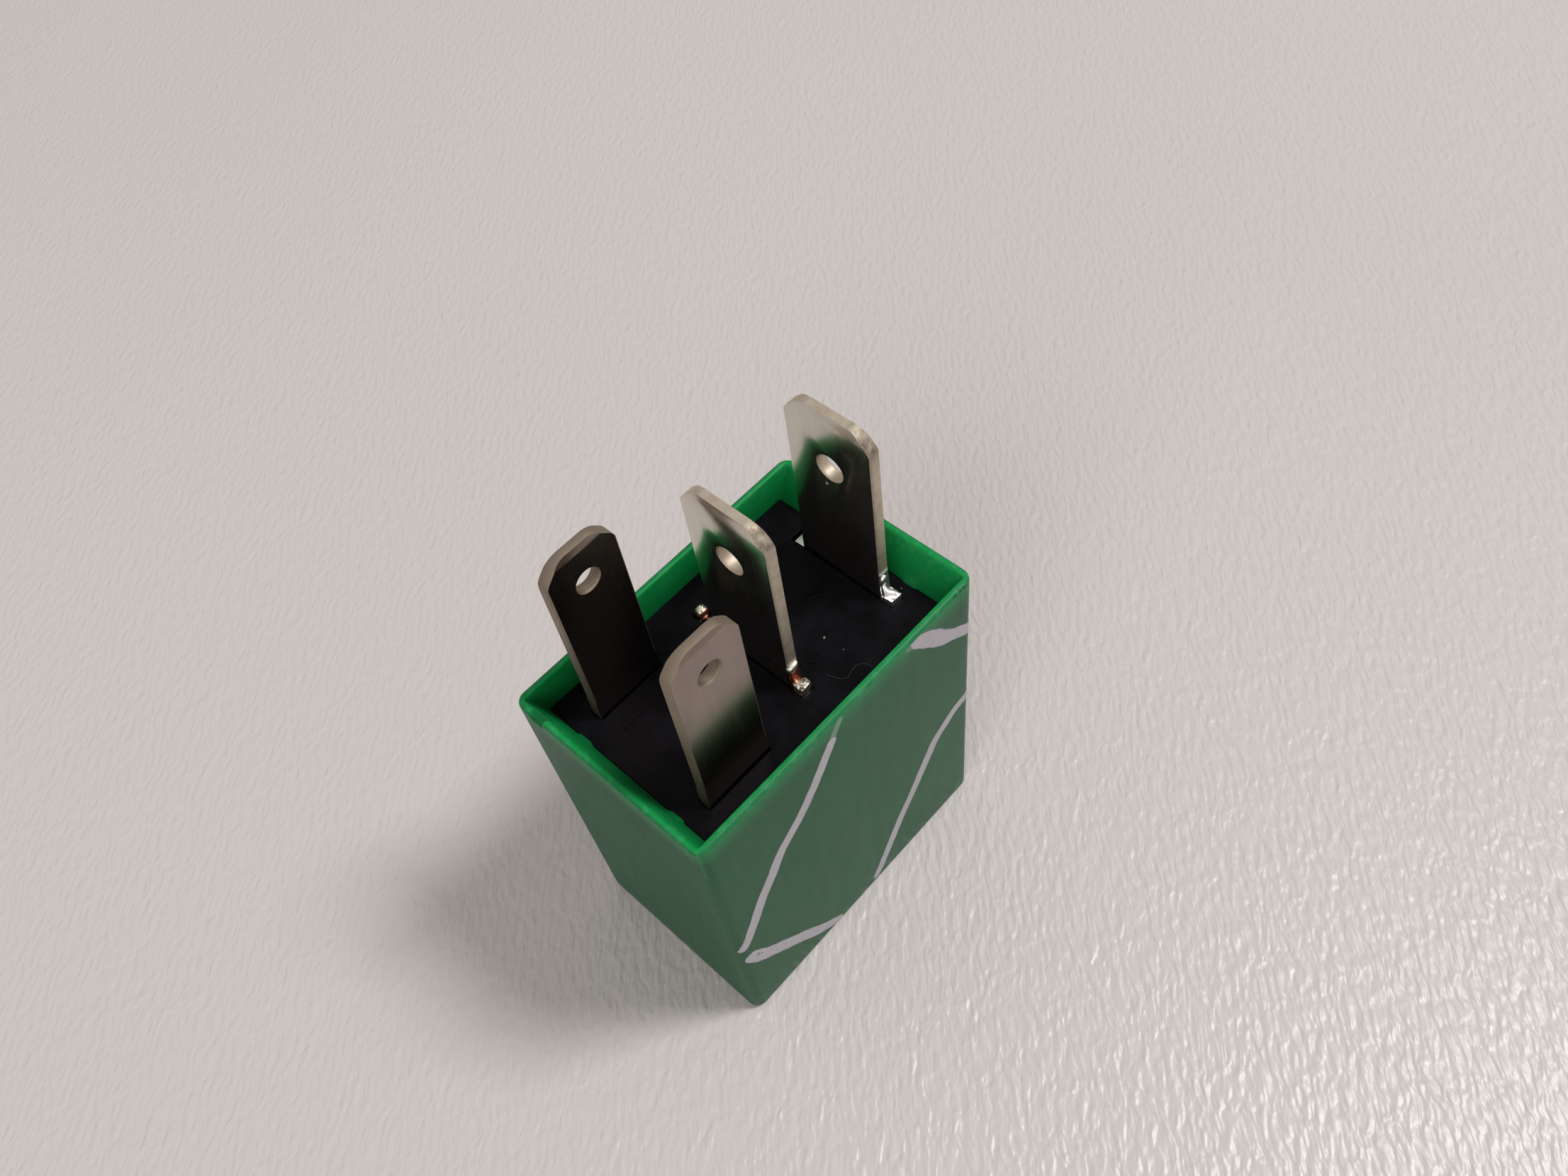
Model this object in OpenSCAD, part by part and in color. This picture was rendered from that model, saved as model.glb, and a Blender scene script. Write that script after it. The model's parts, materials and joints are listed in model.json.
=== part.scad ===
// Plug-in automotive relay, four blades, normally open.
// The closed end of the cover lies on z = 0 and the blades point up.
// +X runs along the long side, from the coil blades to the load blades.
// Origin: centre of the closed end.

/* [Cover] */
// Length of the cover at its open rim
cover_l = 23; // [22.6:0.1:24.4]
// Width of the cover at its open rim
cover_w = 15.1; // [14.9:0.1:16.4]
// Height of the cover
cover_h = 25.9; // [25.5:0.1:28]
// Radius of the upright outer corners
corner_r = 0.8; // [0.6:0.1:1.2]
// Mould draft of each side over the whole height
draft = 0.16; // [0.04:0.02:0.24]
// Thickness of the long walls
wall = 0.5; // [0.4:0.05:0.6]
// Thickness of the closed end
end_wall = 0.8; // [0.6:0.1:1.2]
// Rounding of the edge round the closed end
end_round = 0.5; // [0.3:0.05:0.8]
// Rounding of the outer edge of the rim
rim_round = 0.25; // [0.15:0.05:0.35]
// Thickness of the short walls where the base sits
end_pad = 1.5; // [1.2:0.1:1.6]
// Thickness of the short walls at the lip
end_lip = 0.6; // [0.5:0.05:0.8]
// Width of the ribs that carry the base
rib_w = 1.4; // [1:0.1:2]
// How far those ribs stand in from the long walls
rib_in = 0.7; // [0.5:0.05:0.75]
// Width of a snap nib
nib_w = 1.1; // [0.6:0.1:1.4]
// How far a snap nib reaches over the base
nib_in = 0.2; // [0.15:0.05:0.35]
// Height of a snap nib
nib_h = 0.9; // [0.6:0.1:1.2]
// Distance of the snap nibs from the long sides
nib_side = 3.8; // [3.2:0.05:5]
// Width of the vent notch in the rim
vent_w = 1.1; // [0.8:0.1:1.6]
// Depth of the vent notch in the rim
vent_d = 0.4; // [0.2:0.05:0.6]
// Distance of the vent notch from the long side
vent_in = 2; // [1.9:0.05:2.8]

/* [Base] */
// Depth of the base below the rim
recess = 2.5; // [2:0.1:3]
// Thickness of the base plate
base_t = 1.6; // [1.4:0.1:2]
// Gap between the base plate and the cover
base_gap = 0.05; // [0.03:0.01:0.1]
// Gap round a terminal in its slot
slot_gap = 0.08; // [0.04:0.01:0.12]
// Width of the ledges that press the magnet down
ledge_w = 1.2; // [0.8:0.1:1.4]
// Thickness of the guides beside the yoke
guide_t = 0.5; // [0.4:0.05:0.6]

/* [Blades] */
// Thickness of the terminal strip
blade_t = 0.8; // [0.75:0.01:0.85]
// Height of the blade tips above the rim
blade_rise = 11.5; // [10.5:0.1:12.5]
// Width of the two load blades
load_w = 6.3; // [6:0.05:6.4]
// Width of the two coil blades
coil_w = 4.8; // [4.6:0.05:5]
// Distance of the switched blade from the end of the cover
switched_in = 3; // [2.8:0.05:3.2]
// Distance between the two load blades
load_pitch = 8; // [7.8:0.1:8.2]
// Distance of the coil blades from the other end of the cover
coil_in = 5.5; // [5.3:0.05:5.8]
// Distance between the two coil blades
coil_pitch = 8.9; // [8.7:0.05:9.2]
// Bevelled corner of a blade tip
tip_cut = 1.2; // [0.8:0.1:1.5]
// Rounding of the bevelled corners
tip_round = 1.2; // [0.5:0.1:1.5]
// Thickness left at the tip
tip_t = 0.55; // [0.4:0.05:0.65]
// Height of the thinned tip
tip_h = 0.45; // [0.3:0.05:0.8]
// Broken long edges of a blade
edge_break = 0.1; // [0.05:0.01:0.15]
// Height of the plain neck above the base
neck_h = 2; // [1.5:0.1:2.5]
// Diameter of the detent hole of a load blade
hole_d = 1.8; // [1.6:0.1:2]
// Diameter of the detent hole of a coil blade
coil_hole_d = 1.5; // [1.3:0.1:1.7]
// Countersink of the detent holes
hole_sink = 0.1; // [0.05:0.01:0.12]
// Distance of the load holes from the tip
load_drop = 4.2; // [3.8:0.1:4.6]
// Distance of the coil holes from the tip
coil_drop = 2.8; // [2.5:0.1:3.6]
// Width of a sheared lug beside a load blade
lug_w = 0.9; // [0.7:0.05:1]
// Height of the lugs above the base
lug_h = 0.3; // [0.1:0.05:0.4]
// Length of the switched slot that stays open beyond its inner lug
slot_end = 0.2; // [0.1:0.05:0.3]
// Extra distance of the outer lug of the common blade
lug_shift = 0.9; // [0.5:0.1:1]
// Depth of the notch behind that lug
notch_d = 0.5; // [0.3:0.1:0.8]
// Width of the sloped root of a blade beside its lug
root_w = 0.15; // [0.1:0.05:0.3]
// Height of that root
root_h = 0.5; // [0.3:0.1:1]
// Width of a stop shoulder under the base
shoulder_w = 0.6; // [0.4:0.05:0.7]
// Height of a stop shoulder
shoulder_h = 0.9; // [0.7:0.05:1.1]
// Inner radius of the bends in the terminals
bend_r = 0.4; // [0.3:0.05:0.5]
// Width of the solder posts of the coil terminals
post_w = 1.2; // [1:0.05:1.4]
// Distance of a solder post from the middle of its blade
post_off = 1; // [0.6:0.05:1.2]

/* [Magnet] */
// Diameter of the core for each millimetre of the winding's diameter
core_share = 0.46; // [0.42:0.01:0.48]
// Distance of the pole head's edge inside the edge of the winding
pole_in = 1.3; // [1.1:0.05:1.6]
// Thickness of the pole head
pole_t = 0.9; // [0.7:0.05:1.1]
// Step from the core to its riveted end
core_shoulder = 0.7; // [0.5:0.05:0.9]
// Room below the pole head for the armature and the contacts
arm_room = 4.47; // [4.3:0.01:4.8]
// Thickness of the yoke
yoke_t = 1.4; // [1.2:0.05:1.5]
// Width of the yoke's long leg
yoke_leg_w = 10; // [9:0.1:10.4]
// Gap between the yoke and the short wall of the cover
yoke_gap = 0.8; // [0.75:0.05:0.9]
// Gap between the yoke and the solder posts
post_gap = 0.45; // [0.35:0.05:0.6]
// Drop of the yoke below the base plate
yoke_drop = 1.4; // [1.3:0.05:1.6]
// Gap between the yoke and the bobbin
bobbin_gap = 0.2; // [0.1:0.05:0.3]
// Gap between the bobbin and the arm of the switched terminal
arm_gap = 0.6; // [0.4:0.05:0.8]
// Width of the bobbin flanges across the relay
flange_w = 11.8; // [11.5:0.1:12]
// Thickness of the bobbin flanges
flange_t = 1.1; // [0.9:0.05:1.3]
// Radius of the corners of the flanges
flange_r = 1; // [0.5:0.1:1.5]
// Wall of the bobbin tube
tube_wall = 0.6; // [0.5:0.05:0.8]
// Depth of the winding below the edge of the flanges
winding_in = 0.5; // [0.3:0.05:0.7]
// Diameter of the winding wire where it leaves the coil
wire_d = 0.3; // [0.2:0.05:0.35]
// Distance of that wire from the solder post
wire_off = 0.7; // [0.6:0.05:0.9]
// Clearance of parts that fit into each other
fit = 0.03; // [0.02:0.01:0.05]

/* [Armature and contacts] */
// Thickness of the armature
arm_t = 1.2; // [1:0.05:1.3]
// Width of the armature
arm_w = 9.4; // [8.6:0.1:9.8]
// Length of the armature past the pole head
arm_past = 0.8; // [0.6:0.05:0.9]
// Angle of the armature when the coil is off
open_angle = 2.5; // [2:0.1:2.8]
// Thickness of the contact spring
spring_t = 0.25; // [0.2:0.01:0.3]
// Width of the contact spring
spring_w = 8; // [7:0.1:8.6]
// Width of the contact spring at its tip
spring_tip_w = 3.8; // [3.6:0.1:4.4]
// Inner radius of the bend in the spring
spring_bend = 1; // [0.9:0.05:1.1]
// Distance of the spring's rivets above the hinge
spring_rise = 5.5; // [5:0.1:6.5]
// Metal past a rivet or a contact, to the edge of the spring
spring_edge = 0.6; // [0.4:0.05:0.8]
// Width of the window that softens the bend
window_w = 2; // [1.4:0.1:2.2]
// Height of that window above the hinge
window_h = 1.6; // [1.2:0.1:2]
// Diameter of the contacts
contact_d = 3.2; // [2.8:0.1:3.4]
// Height of the moving contact
contact_h = 0.8; // [0.7:0.05:0.9]
// Height of the fixed contact
fixed_h = 0.7; // [0.6:0.05:0.8]
// Broken edge of the contacts
contact_edge = 0.2; // [0.1:0.05:0.3]
// Distance of the contacts from the switched blade
contact_reach = 2.3; // [2.2:0.05:2.6]
// Width of the arm that carries the fixed contact
carrier_w = 5; // [4.2:0.1:5.6]
// Diameter of the riveted tails of the contacts
tail_d = 2.2; // [1.8:0.1:2.4]
// Height of those tails
tail_h = 0.4; // [0.3:0.05:0.5]
// Diameter of the rivet shanks
rivet_d = 1.4; // [1.2:0.1:1.6]
// Diameter of the rivet heads
rivet_head_d = 2.3; // [2:0.1:2.5]
// Height of the rivet heads
rivet_head_h = 0.35; // [0.25:0.05:0.4]
// Distance of the rivets in a pair from the middle
rivet_y = 2.2; // [1.8:0.1:2.4]
// Thickness of the back stop
stop_t = 0.6; // [0.5:0.05:0.7]
// Width of the back stop
stop_w = 3.4; // [2.6:0.1:4]
// Gap between the back stop and the cover
stop_gap = 0.3; // [0.2:0.05:0.4]
// Depth of the back stop's upper end in the base
stop_in = 0.8; // [0.5:0.05:1]

/* [Suppression resistor] */
// Diameter of the resistor body
res_d = 2.2; // [1.9:0.1:2.4]
// Length of the resistor body
res_l = 6.2; // [5.6:0.1:6.6]
// Length of the resistor's end caps
cap_l = 1.6; // [1.2:0.1:1.8]
// Step from the end caps to the resistor's middle
cap_rise = 0.2; // [0.1:0.05:0.3]
// Diameter of the resistor leads
lead_d = 0.45; // [0.35:0.05:0.5]
// Gap between the resistor and the switched terminal
res_gap = 0.7; // [0.5:0.05:0.9]
// Diameter of a solder lump
solder_d = 1.3; // [1:0.05:1.5]
// Height of a solder lump
solder_h = 0.45; // [0.3:0.05:0.5]

/* [Hidden] */
$fn = 48;

over = 1;                                   // how far a cutter runs past what it cuts
thin = 0.01;                                // slices that the hulls are made between
corner_steps = 8;                           // straight steps in a rounded corner

base_top = cover_h - recess;
base_under = base_top - base_t;
yoke_top = base_under - yoke_drop;
flange_top = yoke_top - yoke_t;
pole_z = end_wall + arm_room;               // pole face and lower end of the yoke
bobbin_foot = pole_z + pole_t + fit;
bobbin_h = flange_top - bobbin_foot;
tip_z = cover_h + blade_rise;
neck_z = base_top + neck_h;
lug_z = base_top + lug_h;

pad_x = cover_l / 2 - end_pad;              // inner face of the thick short walls
yoke_x = -pad_x + yoke_gap;                 // outer face of the yoke
yoke_in = yoke_x + yoke_t;
coil_x = coil_in - cover_l / 2;
coil_y = coil_pitch / 2;
switched_x = cover_l / 2 - switched_in;
common_x = switched_x - load_pitch;
contact_x = switched_x - contact_reach;
arm_tip = contact_x - contact_d / 2 - shoulder_h / 2;   // end of the switched terminal's arm
yoke_w = 2 * (coil_y - blade_t / 2 - post_gap);
flange_l = arm_tip - arm_gap - yoke_in - bobbin_gap;
flange_x = yoke_in + bobbin_gap + flange_l / 2;         // coil axis
winding_d = min(flange_l, flange_w) - 2 * winding_in;
core_d = core_share * winding_d;
core_neck_d = core_d - 2 * core_shoulder;
pole_d = winding_d - 2 * pole_in;
tube_d = core_d + 2 * fit + 2 * tube_wall;

res_x = switched_x - blade_t / 2 - res_gap - res_d / 2;
foot_end = res_x - res_d / 2 - stop_gap;    // end of the yoke and of the common terminal's foot
term_rivet_x = foot_end - ledge_w - rivet_head_d / 2 - 4 * fit;

pivot = [yoke_x, pole_z - fit];             // hinge line, in x and z
spring_z = pivot[1] - arm_t;                // upper face of the spring, coil on
fixed_face = spring_z + contact_h + fit;
carrier_z = fixed_face + fixed_h;           // lower face of the switched terminal's arm
arm_end = flange_x + pole_d / 2 + arm_past;
arm_rivet_x = yoke_in + rivet_head_d / 2;
spring_rivet_z = pivot[1] + spring_rise;
tip_reach = contact_x + contact_d / 2 + spring_edge / 2;

stop_x = pad_x - stop_gap - stop_t;
stop_top = pivot[1] - (contact_x - pivot[0] + tail_d / 2) * sin(open_angle)
           - (arm_t + spring_t + tail_h + 2 * fit) * cos(open_angle) - fit / 2;
stop_end = contact_x - tail_d / 2 - spring_edge / 2;

post_x = coil_x + post_off;                 // coil terminal post in the top flange
joint_z = yoke_top - wire_d;                // height of the soldered wires
lead_y = coil_y + blade_t / 2 + lead_d / 2 + fit;
wire_x = post_x + post_w / 2 + wire_off;
wire_y = sqrt(pow(winding_d / 2 - wire_d, 2) - pow(wire_x - flange_x, 2));

// Half width of the cavity at a height, from the rim's wall and the draft
function cavity_half(size, z) = size / 2 - wall - draft * (1 - z / cover_h);

// A vertex [x, y, r] of a closed outline becomes an arc of radius r
function unit(v) = v / norm(v);
function arc_at(a, p, b, r) =
    let (u = unit([a[0] - p[0], a[1] - p[1]]), w = unit([b[0] - p[0], b[1] - p[1]]),
         half = acos(u * w) / 2, m = unit(u + w), c = [p[0], p[1]] + m * (r / sin(half)),
         s = [p[0], p[1]] + u * (r / tan(half)) - c,
         turn = (u[0] * w[1] - u[1] * w[0] > 0 ? -1 : 1) * (180 - 2 * half))
    [for (i = [0:corner_steps]) let (t = turn * i / corner_steps)
        c + [s[0] * cos(t) - s[1] * sin(t), s[0] * sin(t) + s[1] * cos(t)]];
function rounded(pts) =
    let (n = len(pts))
    [for (i = [0:n - 1]) each
        pts[i][2] == 0 ? [[pts[i][0], pts[i][1]]]
                       : arc_at(pts[(i + n - 1) % n], pts[i], pts[(i + 1) % n], pts[i][2])];
function rounded_rect(l, w, r) =
    rounded([[l / 2, w / 2, r], [-l / 2, w / 2, r], [-l / 2, -w / 2, r], [l / 2, -w / 2, r]]);

// Turns an outline in x and z into a solid of width w across y
module across(w) {
    translate([0, w / 2, 0])
        rotate([90, 0, 0])
            linear_extrude(w) children();
}

module block(x0, x1, y0, y1, z0, z1) {
    translate([x0, y0, z0]) cube([x1 - x0, y1 - y0, z1 - z0]);
}

// ---------------------------------------------------------------- cover

// Outer body: drafted sides, rounded closed end and rounded rim
module cover_skin() {
    levels = concat(
        [for (i = [0:4]) let (t = 90 * i / 4)
            [end_round * (1 - sin(t)), end_round * (1 - cos(t)), 0]],
        [for (i = [0:3]) let (t = 90 * i / 3)
            [cover_h - rim_round * (1 - sin(t)), rim_round * (1 - cos(t)), 1]]);
    hull()
        for (s = levels)
            let (in = s[1] + draft * (1 - s[0] / cover_h))
            translate([0, 0, max(0, s[0] - thin)])
                linear_extrude(thin)
                    polygon(rounded_rect(cover_l - 2 * in, cover_w - 2 * in,
                                         max(corner_r / 5, corner_r - s[1])));
}

module cover_cavity() {
    hull()
        for (z = [end_wall, cover_h + over])
            translate([0, 0, z])
                linear_extrude(thin)
                    polygon(rounded_rect(2 * cavity_half(cover_l, z), 2 * cavity_half(cover_w, z),
                                         max(corner_r / 5, corner_r - wall)));
}

// Thick short wall with the sloped lead-in above the base
module end_pads() {
    for (side = [-1, 1])
        across(cover_w)
            polygon([[side * cover_l / 2, 0],
                     [side * pad_x, 0],
                     [side * pad_x, base_top],
                     [side * (cover_l / 2 - end_lip), cover_h - rim_round],
                     [side * (cover_l / 2 - end_lip), cover_h],
                     [side * cover_l / 2, cover_h]]);
}

// Ribs along the long walls: the base plate rests on their upper ends
module base_ribs() {
    reach = cavity_half(cover_w, base_under) - rib_in;
    for (x = [-pad_x, -rib_w / 2, pad_x - rib_w]) {
        block(x, x + rib_w, reach, cover_w / 2, 0, base_under);
        block(x, x + rib_w, -cover_w / 2, -reach, 0, base_under);
    }
}

// Nibs that snap over the edge of the base
module snap_nibs() {
    root = base_gap * 2;
    tip = nib_h / 4;
    for (side = [-1, 1], y = [nib_side - cover_w / 2, cover_w / 2 - nib_side])
        translate([0, y, 0])
            across(nib_w)
                polygon([[side * (pad_x + root), base_top + fit],
                         [side * (pad_x - nib_in), base_top + fit],
                         [side * (pad_x - nib_in), base_top + tip],
                         [side * (pad_x + root), base_top + nib_h]]);
}

module cover() color("#1f7a45")
    difference() {
        union() {
            difference() {
                cover_skin();
                cover_cavity();
            }
            intersection() {
                cover_skin();
                union() {
                    end_pads();
                    base_ribs();
                }
            }
            snap_nibs();
        }
        block(-cover_l, -pad_x, cover_w / 2 - vent_in - vent_w / 2,
              cover_w / 2 - vent_in + vent_w / 2, cover_h - vent_d, cover_h + over);
    }

// ---------------------------------------------------------------- base

module base() color("#161618")
    difference() {
        base_solid();
        base_slots();
    }

module base_solid() {
    half_l = pad_x - base_gap;
    half_w = cavity_half(cover_w, base_under) - base_gap;
    translate([0, 0, base_under])
        linear_extrude(base_t)
            polygon(rounded_rect(2 * half_l, 2 * half_w, max(corner_r / 5, corner_r - wall - base_gap)));
    // ledges that press on the yoke and on the foot of the common terminal
    block(yoke_x + bend_r, yoke_x + bend_r + ledge_w, -yoke_w / 2 + shoulder_w,
          yoke_w / 2 - shoulder_w, yoke_top, base_under);
    block(foot_end - ledge_w, foot_end, -yoke_w / 2 + bend_r, yoke_w / 2 - bend_r,
          yoke_top + blade_t, base_under);
    // guides beside the top leg of the yoke
    for (y = [yoke_w / 2 + fit, -yoke_w / 2 - fit - guide_t])
        block(coil_x + coil_w / 2 + shoulder_w + slot_gap, common_x - blade_t / 2 - slot_gap,
              y, y + guide_t, yoke_top - yoke_t / 4, base_under);
}

module base_slots() {
    z0 = base_under - over;
    z1 = base_top + over;
    for (side = [-1, 1])
        translate([coil_x, side * coil_y, 0])
            block(-coil_w / 2 - slot_gap, coil_w / 2 + slot_gap,
                  -blade_t / 2 - slot_gap, blade_t / 2 + slot_gap, z0, z1);
    load_slot(common_x, load_w / 2 + lug_w, load_w / 2 + lug_w + lug_shift);
    load_slot(switched_x, load_w / 2 + lug_w, load_w / 2 + lug_w + slot_end - slot_gap);
    // pocket for the upper end of the back stop
    block(stop_x - fit, stop_x + stop_t + fit, -stop_w / 2 - fit, stop_w / 2 + fit,
          z0, base_under + stop_in + fit);
}

module load_slot(x, near, far) {
    block(x - blade_t / 2 - slot_gap, x + blade_t / 2 + slot_gap,
          -near - slot_gap, far + slot_gap, base_under - over, base_top + over);
}

// ---------------------------------------------------------------- terminals

// Exposed blade, its width along x and its thickness along y, standing on z = neck_z
module blade(w, drop, bore) {
    length = tip_z - neck_z;
    side_x = w / 2 - edge_break;
    side_y = blade_t / 2 - edge_break;
    difference() {
        intersection() {
            across(2 * blade_t)
                polygon(rounded([[w / 2, 0, 0], [w / 2, length - tip_cut, tip_round],
                                 [w / 2 - tip_cut, length, tip_round],
                                 [-w / 2 + tip_cut, length, tip_round],
                                 [-w / 2, length - tip_cut, tip_round], [-w / 2, 0, 0]]));
            rotate([0, 0, 90])
                across(2 * w)
                    polygon([[blade_t / 2, 0], [blade_t / 2, length - tip_h],
                             [tip_t / 2, length], [-tip_t / 2, length],
                             [-blade_t / 2, length - tip_h], [-blade_t / 2, 0]]);
            linear_extrude(2 * length)
                polygon([[side_x, blade_t / 2], [-side_x, blade_t / 2],
                         [-w / 2, side_y], [-w / 2, -side_y],
                         [-side_x, -blade_t / 2], [side_x, -blade_t / 2],
                         [w / 2, -side_y], [w / 2, side_y]]);
        }
        translate([0, 0, length - drop])
            rotate([90, 0, 0]) {
                cylinder(d = bore, h = 2 * blade_t, center = true);
                for (side = [0, 180])
                    rotate([side, 0, 0])
                        translate([0, 0, blade_t / 2 - hole_sink])
                            cylinder(d1 = bore, d2 = bore + 4 * hole_sink, h = 2 * hole_sink);
            }
    }
}

// Flat part of a load terminal: blade, neck, sheared lugs and stop shoulder, in the x-z plane.
// The lug on the +x side stands further out by shift, behind a deep notch, or ends level with the base.
module load_plate(shift) {
    half = load_w / 2;
    outer = half + lug_w;
    stop_z = base_under - shoulder_h;
    far_lug = shift > 0
        ? [[outer + shift, lug_z], [half + shift, lug_z],
           [half + shift, base_top - notch_d], [half, base_top - notch_d]]
        : [[outer, base_top], [half, base_top]];
    translate([0, 0, neck_z]) blade(load_w, load_drop, hole_d);
    across(blade_t)
        polygon(concat(
            [[-half, neck_z], [-half, lug_z + root_h], [-half - root_w, lug_z],
             [-outer, lug_z], [-outer, base_under], [-outer - shoulder_w, base_under],
             [-outer - shoulder_w, stop_z], [outer + shift + shoulder_w, stop_z],
             [outer + shift + shoulder_w, base_under], [outer + shift, base_under]],
            far_lug,
            [[half, neck_z]]));
}

// L-shaped leg in the x-z plane, from a plate at x = 0 to a foot that ends at x = reach
function leg_outline(z0, z1, reach) =
    let (s = sign(reach), h = blade_t / 2)
    rounded([[s * h, z1, 0], [s * h, z0 + blade_t, bend_r], [reach, z0 + blade_t, 0],
             [reach, z0, 0], [-s * h, z0, bend_r + blade_t], [-s * h, z1, 0]]);

module coil_terminal(side) {
    stop = coil_w / 2 + shoulder_w;
    stop_z = base_under - shoulder_h;
    post_end = flange_top - 3 * flange_t / 4;
    post = post_x - coil_x;
    translate([coil_x, side * coil_y, 0]) {
        translate([0, 0, neck_z]) blade(coil_w, coil_drop, coil_hole_d);
        across(blade_t)
            polygon([[-coil_w / 2, neck_z], [-coil_w / 2, base_under], [-stop, base_under],
                     [-stop, stop_z], [post - post_w / 2, stop_z],
                     [post - post_w / 2, post_end], [post + post_w / 2, post_end],
                     [post + post_w / 2, stop_z], [stop, stop_z], [stop, base_under],
                     [coil_w / 2, base_under], [coil_w / 2, neck_z]]);
    }
}

module coil_terminal_a() color("#b9b4aa") coil_terminal(1);

module coil_terminal_b() color("#b9b4aa") coil_terminal(-1);

module common_terminal() color("#b9b4aa")
    difference() {
        translate([common_x, 0, 0]) {
            rotate([0, 0, 90]) load_plate(lug_shift);
            across(yoke_w - shoulder_w)
                polygon(leg_outline(yoke_top, base_under - shoulder_h / 2, foot_end - common_x));
        }
        for (side = [-1, 1])
            translate([term_rivet_x, side * rivet_y, yoke_top - over]) rivet_hole(blade_t);
    }

module switched_terminal() color("#b9b4aa")
    difference() {
        translate([switched_x, 0, 0]) {
            rotate([0, 0, 90]) load_plate(0);
            across(carrier_w)
                polygon(leg_outline(carrier_z, base_under - shoulder_h / 2, arm_tip - switched_x));
        }
        translate([contact_x, 0, carrier_z - over]) rivet_hole(blade_t);
    }

// Cuts the hole of a rivet through a sheet of the given thickness that starts at z = over
module rivet_hole(sheet) {
    cylinder(d = rivet_d + 2 * fit, h = sheet + 2 * over);
}

// ---------------------------------------------------------------- magnet

module bobbin() color("#2b2b2e")
    difference() {
        translate([flange_x, 0, bobbin_foot]) {
            for (z = [0, bobbin_h - flange_t])
                translate([0, 0, z])
                    linear_extrude(flange_t)
                        polygon(rounded_rect(flange_l, flange_w, flange_r));
            cylinder(d = tube_d, h = bobbin_h);
        }
        translate([flange_x, 0, bobbin_foot - over])
            cylinder(d = core_d + 2 * fit, h = bobbin_h + 2 * over);
        for (side = [-1, 1]) {
            translate([post_x, side * coil_y, 0])
                block(-post_w / 2 - slot_gap, post_w / 2 + slot_gap,
                      -blade_t / 2 - slot_gap, blade_t / 2 + slot_gap,
                      flange_top - flange_t - over, flange_top + over);
            // notch for the wire, open to the edge of the flange
            translate([wire_x, side * (wire_y + flange_w) / 2, flange_top - flange_t / 2])
                cube([wire_d + 2 * slot_gap, flange_w - wire_y + wire_d + 2 * slot_gap,
                      flange_t + 2 * over], center = true);
        }
    }

// Enamelled wire: the wound body and the two ends that run to the coil terminals
module coil_winding() color("#8a3b17") {
    z0 = bobbin_foot + flange_t;
    z1 = flange_top - flange_t;
    translate([flange_x, 0, z0])
        difference() {
            cylinder(d = winding_d, h = z1 - z0);
            translate([0, 0, -over])
                cylinder(d = tube_d + 2 * fit, h = z1 - z0 + 2 * over);
        }
    for (side = [-1, 1])
        let (elbow = [wire_x, side * wire_y, joint_z]) {
            rod([wire_x, side * wire_y, z1 - wire_d / 2], elbow, wire_d);
            translate(elbow) sphere(d = wire_d);
            rod(elbow, [post_x + post_w / 2, side * coil_y, joint_z], wire_d);
        }
}

// Round bar of diameter d between two points
module rod(a, b, d) {
    v = b - a;
    translate(a)
        rotate([0, acos(v[2] / norm(v)), atan2(v[1], v[0])])
            cylinder(d = d, h = norm(v));
}

module core() color("#8f9296")
    translate([flange_x, 0, 0]) {
        translate([0, 0, pole_z]) cylinder(d = pole_d, h = pole_t);
        translate([0, 0, pole_z]) cylinder(d = core_d, h = flange_top - pole_z);
        translate([0, 0, pole_z]) cylinder(d = core_neck_d, h = yoke_top + 2 * fit - pole_z);
        translate([0, 0, yoke_top + fit]) cylinder(d = core_d - 2 * bend_r, h = spring_t);
    }

module yoke() color("#9a9da1") {
    bend = yoke_t / 2;
    difference() {
        union() {
            across(yoke_w)
                polygon(rounded([[yoke_x, flange_top - bend, 0], [yoke_x, yoke_top, bend + bend_r],
                                 [foot_end, yoke_top, 0], [foot_end, flange_top, 0],
                                 [yoke_in, flange_top, bobbin_gap],
                                 [yoke_in, flange_top - bend, 0]]));
            block(yoke_x, yoke_in, -yoke_leg_w / 2, yoke_leg_w / 2, pole_z, flange_top - bend);
        }
        translate([flange_x, 0, flange_top - over])
            cylinder(d = core_neck_d + 2 * fit, h = yoke_t + 2 * over);
        for (side = [-1, 1]) {
            translate([term_rivet_x, side * rivet_y, flange_top - over]) rivet_hole(yoke_t);
            translate([yoke_x - over, side * rivet_y, spring_rivet_z])
                rotate([0, 90, 0]) rivet_hole(yoke_t);
        }
    }
}

// ---------------------------------------------------------------- armature and contacts

// Places what is drawn with the coil on, armature level, as it lies with the coil off
module released() {
    translate([pivot[0], 0, pivot[1]])
        rotate([0, open_angle, 0])
            translate([-pivot[0], 0, -pivot[1]]) children();
}

module armature() color("#a3a6aa")
    released()
        difference() {
            across(arm_w)
                polygon([[pivot[0] + 3 * fit, pivot[1]], [arm_end, pivot[1]],
                         [arm_end, spring_z + arm_t / 4], [arm_end - arm_t / 4, spring_z],
                         [pivot[0] + spring_bend + 3 * fit, spring_z],
                         [pivot[0] + 3 * fit, spring_z + spring_bend]]);
            for (side = [-1, 1])
                translate([arm_rivet_x, side * rivet_y, spring_z - over]) rivet_hole(arm_t);
        }

// Leaf spring: riveted to the yoke, bent round the hinge, riveted under the armature
spring_mid = spring_bend + spring_t / 2;
leaf_x = pivot[0] - fit - spring_t;                     // outer face of the upright leaf
level_drop = arm_t + fit + spring_t / 2;                // middle of the leaf below the hinge
bend_x = leaf_x + spring_t / 2 + spring_mid;
bend_z = pivot[1] + (spring_mid - level_drop - (bend_x - pivot[0]) * sin(open_angle))
         / cos(open_angle);

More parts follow.
